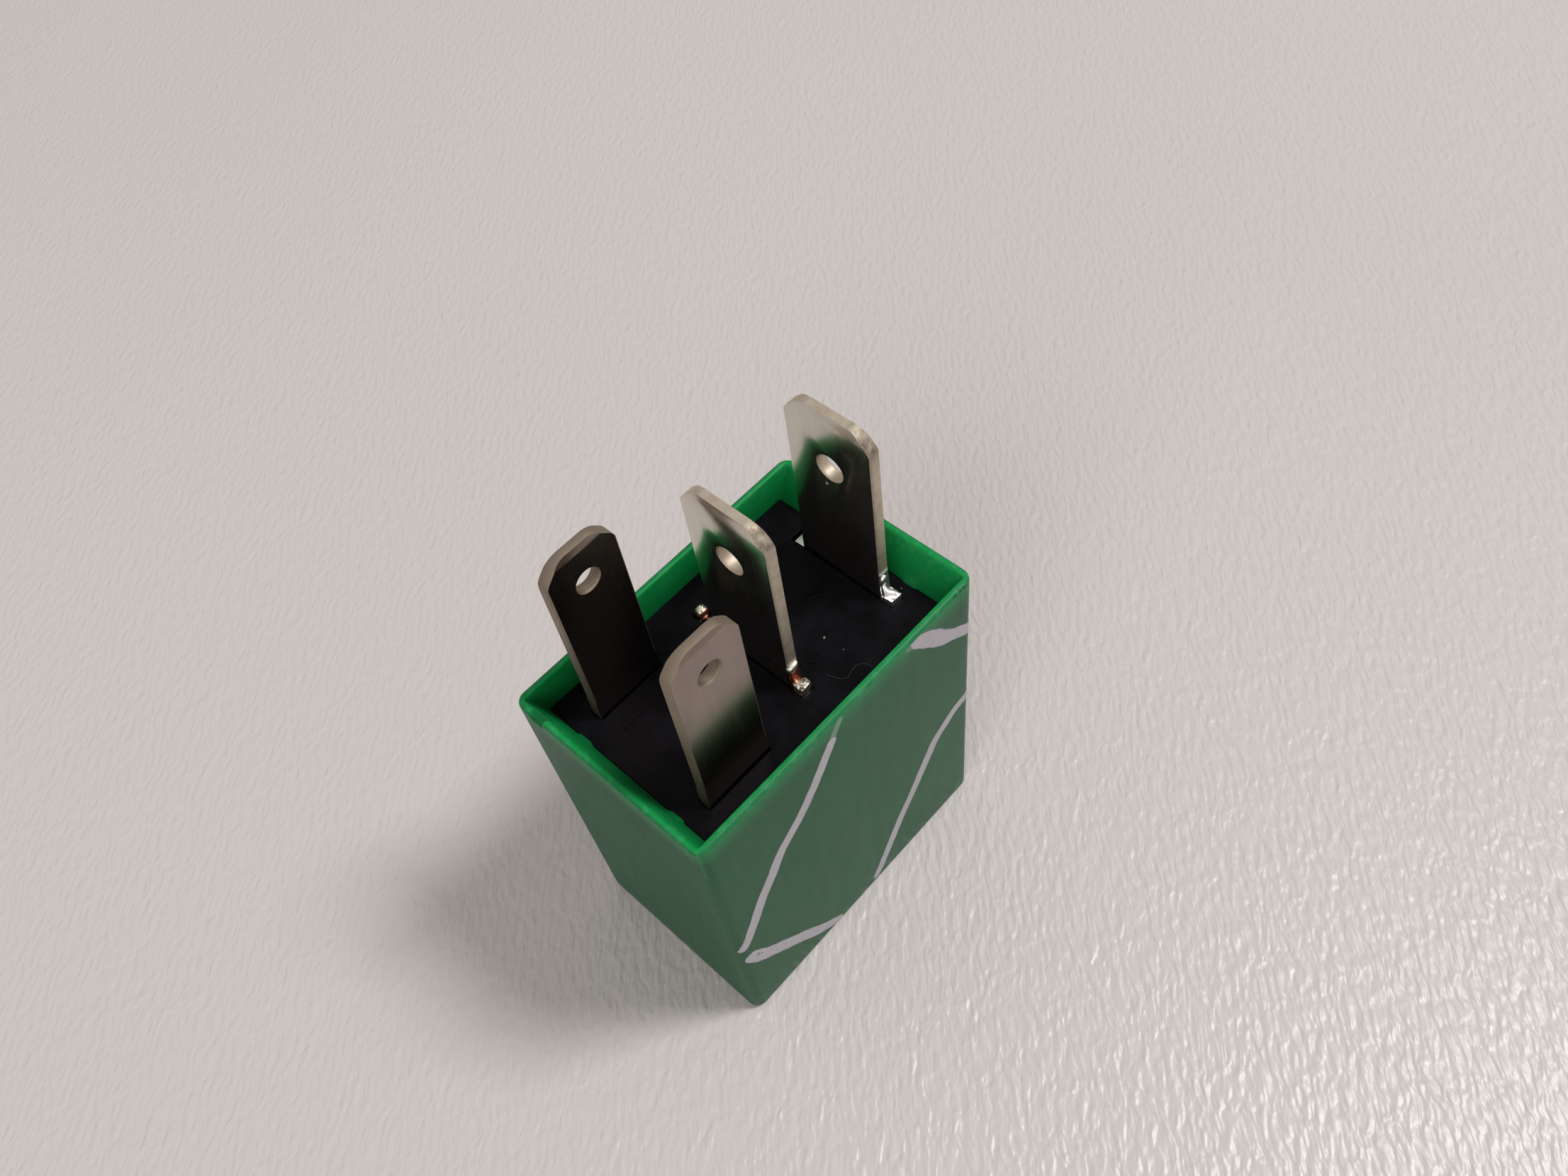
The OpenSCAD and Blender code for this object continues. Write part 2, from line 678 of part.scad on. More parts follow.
function leaf_side(r, steps) =
    [for (i = [0:steps]) let (t = -90 + (90 - open_angle) * i / steps)
        [bend_x + r * sin(t), bend_z - r * cos(t)]];

module spring_leaf() {
    steps = 10;
    run = (tip_reach - pivot[0]) * cos(open_angle) + pivot[0] - bend_x;
    slope = [cos(open_angle), -sin(open_angle)];
    outer = leaf_side(spring_mid + spring_t / 2, steps);
    inner = leaf_side(spring_mid - spring_t / 2, steps);
    top = spring_rivet_z + rivet_head_d / 2 + spring_edge;
    across(spring_w)
        polygon(concat([[leaf_x, top]], outer,
                       [outer[steps] + slope * run], [inner[steps] + slope * run],
                       [for (i = [steps:-1:0]) inner[i]],
                       [[leaf_x + spring_t, top]]));
}

// Outline of the flat spring seen from above, wide at the armature and narrow at the contact
module leaf_plan() {
    end = tip_reach + over;
    wide = arm_end - arm_past;
    narrow = contact_x - contact_d / 2;
    polygon([[leaf_x - over, -spring_w / 2], [wide, -spring_w / 2],
             [narrow, -spring_tip_w / 2], [end, -spring_tip_w / 2], [end, spring_tip_w / 2],
             [narrow, spring_tip_w / 2], [wide, spring_w / 2], [leaf_x - over, spring_w / 2]]);
}

module contact_spring() color("#c9a24a")
    difference() {
        intersection() {
            spring_leaf();
            linear_extrude(cover_h) leaf_plan();
        }
        block(leaf_x - over, pivot[0] + spring_bend + bend_r, -window_w / 2, window_w / 2,
              0, pivot[1] + window_h);
        for (side = [-1, 1]) {
            translate([leaf_x - over, side * rivet_y, spring_rivet_z])
                rotate([0, 90, 0]) rivet_hole(spring_t);
            released()
                translate([arm_rivet_x, side * rivet_y, spring_z - over]) rivet_hole(0);
        }
        released()
            translate([contact_x, 0, spring_z - over]) rivet_hole(0);
    }

// Contact button with a broken edge, its face at z = h
module button(h, d) {
    cylinder(d = d, h = h - contact_edge);
    translate([0, 0, h - contact_edge])
        cylinder(d1 = d, d2 = d - 4 * contact_edge, h = contact_edge);
}

module moving_contact() color("#d8d8d4")
    released()
        translate([contact_x, 0, spring_z]) {
            button(contact_h, contact_d);
            translate([0, 0, -2 * fit - spring_t - tail_h]) {
                cylinder(d = rivet_d, h = tail_h + spring_t + 3 * fit);
                cylinder(d = tail_d, h = tail_h);
            }
        }

module fixed_contact() color("#d8d8d4")
    translate([contact_x, 0, carrier_z]) {
        rotate([180, 0, 0]) button(fixed_h, contact_d);
        translate([0, 0, -fit]) cylinder(d = rivet_d, h = blade_t + 3 * fit);
        translate([0, 0, blade_t + fit]) cylinder(d = tail_d, h = tail_h);
    }

// Head at z = 0 upwards, shank of the given length below it
module rivet(shank) {
    cylinder(d = rivet_head_d, h = rivet_head_h);
    translate([0, 0, -shank]) cylinder(d = rivet_d, h = shank + rivet_head_h / 2);
}

module spring_rivets() color("#b08a3c")
    for (side = [-1, 1])
        translate([leaf_x - fit, side * rivet_y, spring_rivet_z])
            rotate([0, -90, 0]) rivet(spring_t + yoke_t);

module armature_rivets() color("#b08a3c")
    released()
        for (side = [-1, 1])
            translate([arm_rivet_x, side * rivet_y, spring_z - 2 * fit - spring_t])
                rotate([180, 0, 0]) rivet(spring_t + arm_t);

module terminal_rivets() color("#8f9296")
    for (side = [-1, 1])
        translate([term_rivet_x, side * rivet_y, yoke_top + blade_t + fit])
            rivet(blade_t + yoke_t);

module back_stop() color("#a9a49a")
    across(stop_w)
        polygon(rounded([[stop_x, base_under + stop_in, 0], [stop_x, stop_top, bend_r],
                         [stop_end, stop_top, 0], [stop_end, stop_top - stop_t, 0],
                         [stop_x + stop_t, stop_top - stop_t, bend_r + stop_t],
                         [stop_x + stop_t, base_under + stop_in, 0]]));

// ---------------------------------------------------------------- suppression

module suppression_resistor() color("#6f8f98") {
    rotate([90, 0, 0])
        translate([res_x, joint_z, 0])
            cylinder(d = res_d - 2 * cap_rise, h = res_l - cap_l, center = true);
    for (side = [-1, 1])
        let (elbow = [res_x, side * lead_y, joint_z]) {
            rod([res_x, side * (res_l / 2 - cap_l), joint_z], [res_x, side * res_l / 2, joint_z],
                res_d);
            rod([res_x, side * (res_l / 2 - cap_l), joint_z], elbow, lead_d);
            translate(elbow) sphere(d = lead_d);
            rod(elbow, [post_x + solder_d / 2 + fit, side * lead_y, joint_z], lead_d);
        }
}

module solder_joints() color("#c4c6c8")
    for (side = [-1, 1])
        translate([post_x, side * (coil_y + blade_t / 2), joint_z])
            rotate([side * -90, 0, 0])
                cylinder(d1 = solder_d, d2 = solder_d - solder_h, h = solder_h);

cover();
base();
coil_terminal_a();
coil_terminal_b();
common_terminal();
switched_terminal();
bobbin();
coil_winding();
core();
yoke();
armature();
contact_spring();
moving_contact();
fixed_contact();
spring_rivets();
armature_rivets();
terminal_rivets();
back_stop();
suppression_resistor();
solder_joints();
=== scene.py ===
import json
import math
import random

import bmesh
import bpy
from bpy.types import Operator, Panel, PropertyGroup
from mathutils import Matrix, Vector


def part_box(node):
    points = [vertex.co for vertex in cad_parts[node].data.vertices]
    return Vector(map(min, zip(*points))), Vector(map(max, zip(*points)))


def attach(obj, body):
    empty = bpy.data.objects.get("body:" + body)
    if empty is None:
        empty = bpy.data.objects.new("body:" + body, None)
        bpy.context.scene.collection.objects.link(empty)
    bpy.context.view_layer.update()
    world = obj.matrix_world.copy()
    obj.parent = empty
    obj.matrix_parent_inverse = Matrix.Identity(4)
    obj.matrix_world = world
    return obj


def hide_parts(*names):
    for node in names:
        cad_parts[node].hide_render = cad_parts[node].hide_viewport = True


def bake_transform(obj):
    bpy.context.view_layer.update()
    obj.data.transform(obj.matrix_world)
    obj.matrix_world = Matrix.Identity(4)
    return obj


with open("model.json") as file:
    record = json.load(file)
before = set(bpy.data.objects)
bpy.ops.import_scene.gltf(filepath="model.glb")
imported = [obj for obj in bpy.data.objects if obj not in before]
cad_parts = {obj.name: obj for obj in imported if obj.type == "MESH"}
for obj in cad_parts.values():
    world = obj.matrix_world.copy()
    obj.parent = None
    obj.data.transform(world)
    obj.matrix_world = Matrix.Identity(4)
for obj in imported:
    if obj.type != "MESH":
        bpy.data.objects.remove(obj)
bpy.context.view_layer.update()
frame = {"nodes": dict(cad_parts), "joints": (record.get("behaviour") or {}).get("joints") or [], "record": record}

bl_info = {
    "name": "Automotive relay",
    "version": (1, 0, 0),
    "blender": (4, 5, 0),
    "location": "View3D > Sidebar > Relay",
    "description": "Dresses the plug-in relay: moulded cover and base, stamped blades, magnet and contacts",
    "category": "Object",
}

MM = 0.001
HOUSING = "housing"
ARMATURE = "armature"
OPEN_ANGLE = math.radians(frame["joints"][0]["range_deg"][1])
DETENTS = {m["name"]: Vector(m["pos_m"]) for m in frame["record"]["mounts"]}
COVER_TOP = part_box("cover")[1]
BASE_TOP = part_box("base")[1].z / MM

# Dark marks on the cover and pale ones on the base: centre and radius in millimetres, and strength
GREEN_MARKS = (((-11.45, -0.9, 7.6), 0.14), ((5.47, -7.53, 20.55), 0.1), ((4.55, -7.53, 20.83), 0.07),
               ((1.95, -7.55, 23.67), 0.1), ((9.6, -7.47, 25.74), 0.05), ((9.7, -7.47, 25.76), 0.06),
               ((9.8, -7.47, 25.77), 0.05), ((10.1, -7.47, 25.77), 0.05), ((10.2, -7.48, 25.74), 0.06),
               ((10.45, -7.48, 25.72), 0.07), ((10.56, -7.49, 25.68), 0.08), ((10.68, -7.49, 25.66), 0.07),
               ((10.9, -6.8, 25.86), 0.05), ((9.2, -7.54, 25.0), 0.05))
BLACK_MARKS = (((3.85, -2.32, 23.4), 0.05, 0.6), ((3.9, -2.29, 23.4), 0.05, 0.6),
               ((3.94, -3.75, 23.4), 0.03, 0.3), ((3.98, -3.73, 23.4), 0.03, 0.3),
               ((9.43, -3.6, 23.4), 0.035, 0.6), ((2.4, 1.2, 23.4), 0.04, 0.4),
               ((5.6, 3.9, 23.4), 0.035, 0.5))

# Shader maths

class Sock:
    """A value in a shader tree, so that shader maths reads as an expression."""

    def __init__(self, tree, socket):
        self.tree = tree
        self.socket = socket

    def maths(self, operation, first, second=None, clamp=False):
        values = {0: first} if second is None else {0: first, 1: second}
        return self.tree.node("ShaderNodeMath", {"operation": operation, "use_clamp": clamp}, values)

    def __abs__(self):
        return self.maths("ABSOLUTE", self)

    def above(self, edge, soft):
        """0 below the edge, 1 above it, rising over a width of soft."""
        return self.maths("MULTIPLY", (self - (edge - soft / 2)) * (1.0 / soft), 1.0, clamp=True)

    def below(self, edge, soft):
        return 1.0 - self.above(edge, soft)

    def between(self, low, high, soft, soft_high=None):
        return self.above(low, soft) * self.below(high, soft_high or soft)

    def most(self, other):
        return self.maths("MAXIMUM", self, other)


for symbol, operation in (("add", "ADD"), ("sub", "SUBTRACT"), ("mul", "MULTIPLY")):
    setattr(Sock, f"__{symbol}__", lambda a, b, o=operation: a.maths(o, a, b))
    setattr(Sock, f"__r{symbol}__", lambda a, b, o=operation: a.maths(o, b, a))


def toned(colour, share):
    return tuple(c * share for c in colour)


class Finish:
    """A material whose one shader is a Principled BSDF, in millimetres of the object."""

    def __init__(self, name, colour, **uniform):
        self.material = bpy.data.materials.new(name)
        self.material.use_nodes = True
        self.material.diffuse_color = (*colour, 1.0)
        self.colour = colour
        self.tree = self.material.node_tree
        self.shader = self.tree.nodes["Principled BSDF"]
        self.shader.inputs["Base Color"].default_value = (*colour, 1.0)
        for key, value in uniform.items():
            self.shader.inputs[key.replace("_", " ").title().replace("Ior", "IOR")].default_value = value
        where = self.node("ShaderNodeTexCoord", out="Object")
        self.mm = self.vector("SCALE", {"Vector": where, "Scale": 1.0 / MM})
        self.x = self.node("ShaderNodeSeparateXYZ", {}, {0: self.mm})
        self.y, self.z = self.other(self.x, 1), self.other(self.x, 2)

    def feed(self, socket, value):
        if isinstance(value, Sock):
            self.tree.links.new(value.socket, socket)
        elif hasattr(socket.default_value, "__len__") and len(socket.default_value) == 4 and len(value) == 3:
            socket.default_value = (*value, 1.0)
        else:
            socket.default_value = value

    def node(self, kind, settings=None, values=None, out=0):
        """Adds a node: its settings first, then its sockets' values or links."""
        node = self.tree.nodes.new(kind)
        for key, value in (settings or {}).items():
            setattr(node, key, value)
        for key, value in (values or {}).items():
            self.feed(node.inputs[key], value)
        return Sock(self, node.outputs[out])

    def other(self, sock, out):
        """Another output of the node that a value comes from."""
        return Sock(self, sock.socket.node.outputs[out])

    def vector(self, operation, values, out=0):
        return self.node("ShaderNodeVectorMath", {"operation": operation}, values, out)

    def attribute(self, name):
        return self.node("ShaderNodeAttribute", {"attribute_name": name}, out="Fac")

    def noise(self, scale, detail=2.0, rough=0.5, at=None, seed=0.0):
        """Noise between about 0.2 and 0.8, scale in cycles a millimetre."""
        return self.node("ShaderNodeTexNoise", {"noise_dimensions": "4D"},
                         {"Vector": at or self.mm, "W": seed, "Scale": scale,
                          "Detail": detail, "Roughness": rough})

    def stretched(self, x, y, z):
        """Object coordinates in millimetres, scaled on each axis."""
        return self.vector("MULTIPLY", {0: self.mm, 1: (x, y, z)})

    def specks(self, scale, seed, size, soft, rarity, fade):
        """Round specks on scattered points; only the points over the rarity carry one."""
        distance = self.node("ShaderNodeTexVoronoi", {"voronoi_dimensions": "4D"},
                             {"Vector": self.mm, "W": seed, "Scale": scale}, out="Distance")
        lot = self.node("ShaderNodeSeparateColor", {}, {0: self.other(distance, "Color")})
        return distance.below(size, soft) * lot.above(rarity, fade)

    def blend(self, factor, first, second):
        return self.node("ShaderNodeMix", {"data_type": "RGBA", "clamp_factor": True},
                         {0: factor, 6: first, 7: second}, out=2)

    def spot(self, centre, radius, soft):
        """1 inside a ball of the given radius, in millimetres."""
        return self.vector("DISTANCE", {0: self.mm, 1: centre}, "Value").below(radius, soft)

    def over(self, factor, paint):
        """Lays a paint over the colour so far."""
        self.colour = self.blend(factor, self.colour, paint)

    def done(self, roughness, height=None, depth_mm=0.0, metallic=None):
        """Wires the colour, the roughness and the relief, where a height of 1 stands for depth_mm."""
        self.feed(self.shader.inputs["Base Color"], self.colour)
        self.feed(self.shader.inputs["Roughness"], roughness)
        if metallic:
            self.feed(self.shader.inputs["Metallic"], metallic)
        if height:
            self.feed(self.shader.inputs["Normal"], self.node(
                "ShaderNodeBump", {}, {"Strength": 1.0, "Distance": depth_mm * MM, "Height": height}))
        return self

    def wear(self, *objects):
        for o in objects:
            o.data.materials.clear()
            o.data.materials.append(self.material)
        return objects


def green_plastic(style):
    """Moulded thermoplastic: even colour, a fine moulded grain, hairline scuffs and a few dark specks, with painted
    light through the thin rim, a painted highlight on the rim and painted shade in the vent notch and along a
    crease.
    """
    f = Finish("green_plastic", style.green, roughness=0.35, specular_ior_level=0.17, ior=1.5)
    f.colour = f.blend(f.noise(0.12, 3.0, seed=1.0).above(0.5, 0.4), toned(style.green, 0.84), style.green)
    # painted light: the top of the cover is painted a paler green, standing in for light through the thin wall near
    # the rim
    f.over(f.z.above(24.9, 1.7) * 0.55, style.green_pale_glow_and_scratch)
    # painted light: the inner walls are painted a bright glowing green, more so towards the rim, standing in for
    # light through the thin wall
    inside = abs(f.x).below(11.34, 0.08) * abs(f.y).below(7.25, 0.2) * f.z.above(22.6, 0.6)
    f.over(inside * (0.42 + 0.5 * f.z.above(24.7, 2.0)), style.green_painted_glow)
    grain = f.noise(7.0, 2.0, seed=3.0)
    scuff = f.noise(1.3, 4.0, 0.65, at=f.stretched(1.0, 1.0, 0.25), seed=5.0)
    scratch = f.noise(0.9, 2.0, 0.4, at=f.stretched(6.0, 6.0, 0.5), seed=8.0)
    hair = abs(scratch - 0.5).below(0.006, 0.006) * f.noise(0.3, 1.0, seed=9.0).above(0.52, 0.08)
    f.over(hair * 0.3, style.green_pale_glow_and_scratch)
    # lighter green streaks painted near the rim: partly a painted highlight on the rim, partly rubbed wear, which
    # also roughens it
    rub_and_highlight = f.z.above(25.1, 0.8) \
        * f.noise(2.2, 3.0, 0.7, at=f.stretched(0.6, 1.0, 1.4), seed=10.0).above(0.56, 0.16)
    f.over(rub_and_highlight * 0.3, (0.07, 0.34, 0.16))
    marks = f.specks(0.34, 2.0, 0.05, 0.03, 0.62, 0.02)
    for centre, radius in GREEN_MARKS:
        marks = marks.most(f.spot(centre, radius, radius * 0.8))
    # painted shade: a thin dark line painted down the long wall near its +X end, where the shape has no crease
    crease_shade = abs(f.x + 0.03 * f.z + 0.06 * f.noise(0.8, seed=13.0) - 10.91).below(0.03, 0.04) \
        * f.y.below(-7.2, 0.1) * f.z.above(22.6, 0.8) * f.noise(1.1, 2.0, seed=14.0).above(0.42, 0.14)
    # painted shade: the vent notch in the rim is painted darker
    notch = f.x.below(-10.7, 0.2) * f.y.between(VENT_LOW, VENT_HIGH, 0.06, 0.5) \
        * f.z.between(25.0, 25.78, 0.3, 0.12)
    f.over(notch * 0.75, (0.002, 0.06, 0.02))
    f.over(marks.most(crease_shade * 0.8) * 0.85, (0.010, 0.016, 0.010))
    return f.done(0.32 + 0.14 * scuff + 0.1 * hair + 0.08 * rub_and_highlight,
                  grain * 0.35 + scuff * 0.4 - hair * 0.25, 0.009)


def black_plastic(style):
    """Black glass-filled plastic, faintly mottled, with sparse specks of dust."""
    f = Finish("black_plastic", style.black, roughness=0.4, specular_ior_level=0.07, ior=1.5)
    cloud = f.noise(0.55, 5.0, 0.65, seed=11.0)
    f.over(cloud.above(0.54, 0.22), style.black_worn)
    f.over(f.specks(1.3, 4.0, 0.05, 0.05, 0.68, 0.05) * 0.1, (0.5, 0.48, 0.46))
    fleck = f.specks(0.3, 6.0, 0.022, 0.012, 0.6, 0.02) * 0.3
    for centre, radius, strength in BLACK_MARKS:
        fleck = fleck.most(f.spot(centre, radius, radius * 0.5) * strength)
    f.over(fleck, (0.5, 0.48, 0.45))
    return f.done(0.34 + 0.2 * cloud, f.noise(5.0, 3.0, 0.6, seed=12.0) * 0.6 + cloud * 0.4, 0.012)


def tin_plate(style, name="tin_plate", tone=None, rough=0.17, bare=0.0):
    """Half-bright tin over copper alloy, rolled along the strip; sheared edges show the copper where bare."""
    tone = tone or style.tin
    f = Finish(name, tone, metallic=1.0, roughness=rough)
    wave = f.noise(0.3, 1.0, 0.4, seed=21.0)
    smear = f.noise(0.45, 2.0, 0.5, at=f.stretched(1.6, 1.6, 0.5), seed=24.0)
    streak = f.noise(1.0, 3.0, 0.6, at=f.stretched(2.2, 2.2, 0.12), seed=22.0)
    hair = abs(f.noise(0.8, 2.0, 0.5, at=f.stretched(5.0, 5.0, 0.22), seed=23.0) - 0.5).below(0.005, 0.008)
    grain = f.noise(6.0, 2.0, 0.6, seed=25.0)
    stain = f.noise(1.6, 3.0, 0.65, seed=27.0).above(0.53, 0.2)
    dim = smear.above(0.55, 0.5) * 0.5 + streak.above(0.55, 0.4) * 0.2
    f.over(dim, toned(tone, 0.72))
    # the -Y corner of the switched blade's tip is painted darker: partly brown-grey stains, partly painted shade
    # that dims the lamp's reflection there
    f.over(f.spot((8.1, -2.4, 35.9), 1.1, 1.1) * (0.35 + 0.3 * streak), toned(tone, 0.4))
    # the sheared edges, bright on the load blades; down the coil blades they are painted darker towards the base,
    # painted shade that dims their reflection there
    loads = f.x.above(-2.5, 0.1)
    sheared = f.attribute("sheared") * f.z.above(25.6, 0.1).most(1.0 - loads)
    edge = f.blend(loads.most(f.z.above(31.0, 3.0) * 0.45), toned(style.edge, 0.3), style.edge)
    f.over(sheared * (0.6 + 0.35 * stain), edge)
    # the sheared edges at the -Y corners of the load blades' tips are painted darker: partly brown-grey stains,
    # partly painted shade that dims the lamp's reflection there
    stained_and_shaded_tip = sheared * loads * f.z.above(35.9, 0.8) * f.y.below(-1.7, 0.8) * (0.35 + 0.6 * stain)
    f.over(stained_and_shaded_tip, toned(style.edge, 0.35))
    # the torn lugs and the broken edge above them
    torn = loads * abs(f.y).above(3.3, 0.08) * f.z.between(23.1, 24.4, 0.1)
    stub = torn.most(loads * abs(f.y + 3.3).below(0.24, 0.1) * f.z.between(23.1, 25.9, 0.2))
    f.over(stub * 0.9, style.torn_common if bare else style.torn)
    if bare:
        stem = f.z.between(23.1, 25.02, 0.2, 0.12) * abs(f.y + 3.18).below(0.19, 0.12)
        under = f.y.between(4.05, 4.42, 0.1, 0.12) * f.z.between(22.9, 24.0, 0.2)
        low = f.y.above(4.0, 0.1) * f.z.between(22.9, 23.62, 0.2, 0.12)
        f.over(stem.most(under).most(low) * bare, style.copper)
        f.over(torn * f.noise(2.4, 2.0, 0.6, seed=26.0).above(0.56, 0.08) * 0.85, (0.1, 0.05, 0.02))
    # painted highlight: a small bright glint painted on a dent in the switched blade's face
    dent_glint = f.spot((8.1, 0.35, 31.69), 0.09, 0.05)
    f.over(dent_glint * 0.8, (0.9, 0.88, 0.84))
    step = abs(f.z - 25.3).below(0.018, 0.03) * abs(f.y).below(3.0, 0.1) * abs(f.x + 6.0).above(3.0, 0.1)
    return f.done(rough + 0.1 * dim + 0.05 * hair + 0.14 * stub + 0.4 * sheared + 0.4 * dent_glint,
                  wave * 0.7 + hair * -0.02 + grain * (0.012 + 0.2 * torn) + streak * 0.04 + step * 0.25
                  + sheared * grain * 0.05, 0.03)


def plated_steel(style):
    """Soft iron with a thin zinc coat."""
    f = Finish("magnet_steel", style.steel, metallic=1.0, roughness=0.35)
    cloud = f.noise(0.8, 4.0, 0.6, seed=31.0)
    f.over(cloud.above(0.5, 0.3), toned(style.steel, 0.78))
    return f.done(0.28 + 0.25 * cloud, f.noise(5.0, 3.0, 0.6, seed=32.0), 0.012)


def rolled_strip(name, colour, rough):
    """Rolled spring or rivet alloy, with the grain of the rolls along x."""
    f = Finish(name, colour, metallic=1.0, roughness=rough)
    grain = f.noise(1.0, 3.0, 0.6, at=f.stretched(0.4, 9.0, 3.0), seed=41.0)
    f.over(f.noise(0.4, 3.0, 0.6, seed=42.0).above(0.55, 0.2) * 0.5, toned(colour, 0.6))
    return f.done(rough - 0.08 + 0.2 * grain, grain, 0.008)


def enamelled_wire(style):
    """Copper wire in clear lacquer."""
    f = Finish("enamelled_wire", style.copper, metallic=0.85, coat_weight=0.7, coat_roughness=0.12)
    f.colour = f.blend(f.noise(0.7, 2.0, seed=51.0), toned(style.copper, 0.7), style.copper)
    return f.done(0.3)


def bright_metal(name, colour, rough, relief):
    """Silver contact or solder: bright, slightly pitted."""
    f = Finish(name, colour, metallic=1.0, roughness=rough)
    pit = f.noise(4.0, 3.0, 0.6, seed=61.0)
    f.over(pit.above(0.55, 0.2), toned(colour, 0.75))
    return f.done(rough - 0.05 + 0.15 * pit, pit, relief)


def resistor_lacquer(style):
    """Lacquered ceramic rod with painted value rings; the leads beyond the caps are bare."""
    f = Finish("resistor_enamel", style.lacquer, roughness=0.3)
    body = abs(f.y).below(3.12, 0.02)
    f.colour = f.blend(f.noise(1.5, 3.0, seed=71.0), toned(style.lacquer, 0.85), style.lacquer)
    for place, paint in ((-2.3, (0.02, 0.02, 0.02)), (-1.0, (0.2, 0.05, 0.02)),
                         (0.3, (0.5, 0.12, 0.02)), (2.3, (0.45, 0.3, 0.06))):
        f.over(abs(f.y - place).below(0.26, 0.04), paint)
    f.over(1.0 - body, style.tin)
    return f.done(0.28 + 0.1 * f.noise(3.0, seed=72.0), metallic=1.0 - body)


def marker_paint(style):
    """Opaque paint from a marker: an even film with a dark line along each edge."""
    f = Finish("marker_paint", style.marker, roughness=0.5)
    streak = f.noise(1.6, 3.0, 0.6, seed=81.0)
    fine = f.noise(9.0, 2.0, 0.6, seed=82.0)
    f.over(streak.above(0.55, 0.4) * 0.6, toned(style.marker, 0.8))
    across, amount = f.attribute("across"), f.attribute("paint")
    thin = 1.0 - amount.above(0.85, 0.2)
    line = abs(across).above(0.9, 0.1) * (0.55 + 0.4 * fine) * (1.0 - thin)
    bare = f.spot((-11.2, -7.0, 11.2), 0.1, 0.08).most(f.spot((-9.95, -7.4, 8.45), 0.12, 0.1)) \
        .most(f.spot((-9.68, -7.4, 8.12), 0.09, 0.06))
    f.over(line.most(bare * 0.9), (0.012, 0.03, 0.018))
    f.over(thin * (1.0 - amount), f.blend(streak, style.green, style.green_pale_glow_and_scratch))
    return f.done(0.42 + 0.2 * streak, streak * 0.6 + fine * 0.4, 0.012)


def table_paint(style):
    """Pale table with a fine leathery grain of short ridges."""
    f = Finish("table", style.floor, roughness=0.34, specular_ior_level=0.45)
    turned = f.node("ShaderNodeVectorRotate", {"rotation_type": "Z_AXIS"},
                    {"Vector": f.mm, "Angle": math.radians(47)})
    ridge = f.vector("MULTIPLY", {0: turned, 1: (2.1, 0.8, 1.0)})
    sway = f.vector("SCALE", {"Vector": f.other(f.noise(0.4, 2.0, seed=93.0), "Color"), "Scale": 1.8})
    bent = f.vector("ADD", {0: ridge, 1: sway})
    pebble = f.noise(1.0, 1.0, 0.4, at=bent, seed=91.0)
    fine = f.noise(3.0, 2.0, 0.5, at=bent, seed=94.0)
    f.over(f.noise(0.02, 2.0, seed=92.0), toned(style.floor, 0.96))
    return f.done(0.34, pebble.above(0.5, 0.45) * 0.85 + fine * 0.15, 0.085)


# Mesh helpers

def placed(name, data):
    o = bpy.data.objects.new(name, data)
    bpy.context.scene.collection.objects.link(o)
    return o


def taken(bm, name, outward=False):
    """The work mesh as a plain mesh; the work mesh is freed."""
    if outward:
        bmesh.ops.recalc_face_normals(bm, faces=bm.faces)
    mesh = bpy.data.meshes.new(name)
    bm.to_mesh(mesh)
    bm.free()
    return mesh


def settled(o):
    """A plain mesh of the object with its modifiers; the object goes."""
    bpy.context.view_layer.update()
    mesh = bpy.data.meshes.new_from_object(o.evaluated_get(bpy.context.evaluated_depsgraph_get()))
    o.modifiers.clear()
    bpy.data.objects.remove(o)
    return mesh


def dropped(mesh, *names):
    """Takes the named attributes off a mesh."""
    for name in names:
        if name in mesh.attributes:
            mesh.attributes.remove(mesh.attributes[name])
    return mesh


def piece(name, mesh, body, slot, *nodes):
    """Hangs a finished mesh on its body, in place of the CAD nodes that it stands for.

    Without a body it is left unattached."""
    o = placed(name, mesh)
    if body:
        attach(o, body)
    if nodes:
        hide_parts(*nodes)
    return o


def smoothed(mesh, degrees=32.0):
    mesh.shade_smooth()
    mesh.set_sharp_from_angle(angle=math.radians(degrees))
    return mesh


def baked(data, *modifiers):
    """Plain mesh of a mesh or curve after modifiers given as (type, settings)."""
    o = placed("working", data)
    for kind, settings in modifiers:
        m = o.modifiers.new(kind, kind)
        for key, value in settings.items():
            setattr(m, key, value)
    return settled(o)


def merged(node):
    """A CAD node's mesh with its loose triangles joined into clean faces."""
    bm = bmesh.new()
    bm.from_mesh(frame["nodes"][node].data)
    bmesh.ops.remove_doubles(bm, verts=bm.verts, dist=2e-7)
    bmesh.ops.dissolve_limit(bm, angle_limit=math.radians(0.6), verts=bm.verts, edges=bm.edges)
    mesh = dropped(taken(bm, node + "_merged"), "custom_normal", "sharp_edge", "sharp_face")
    mesh.materials.clear()
    return mesh


def edged(mesh, width_mm, segments=2):
    """Rounds the sharp edges by a small radius, as pressing and moulding leave them."""
    bevel = {"width": width_mm * MM, "segments": segments, "limit_method": "ANGLE",
             "angle_limit": math.radians(30.0), "use_clamp_overlap": True, "loop_slide": True}
    return smoothed(baked(mesh, ("BEVEL", bevel),
                          ("WEIGHTED_NORMAL", {"weight": 100, "keep_sharp": True})), 50.0)


def mark_sheared(mesh, axis):
    """Marks the faces of a strip that are not its two rolled sides, which lie across the axis."""
    mark = mesh.attributes.new("sheared", "FLOAT", "FACE")
    for face in mesh.polygons:
        mark.data[face.index].value = 1.0 if abs(face.normal[axis]) < 0.75 else 0.0
    return mesh


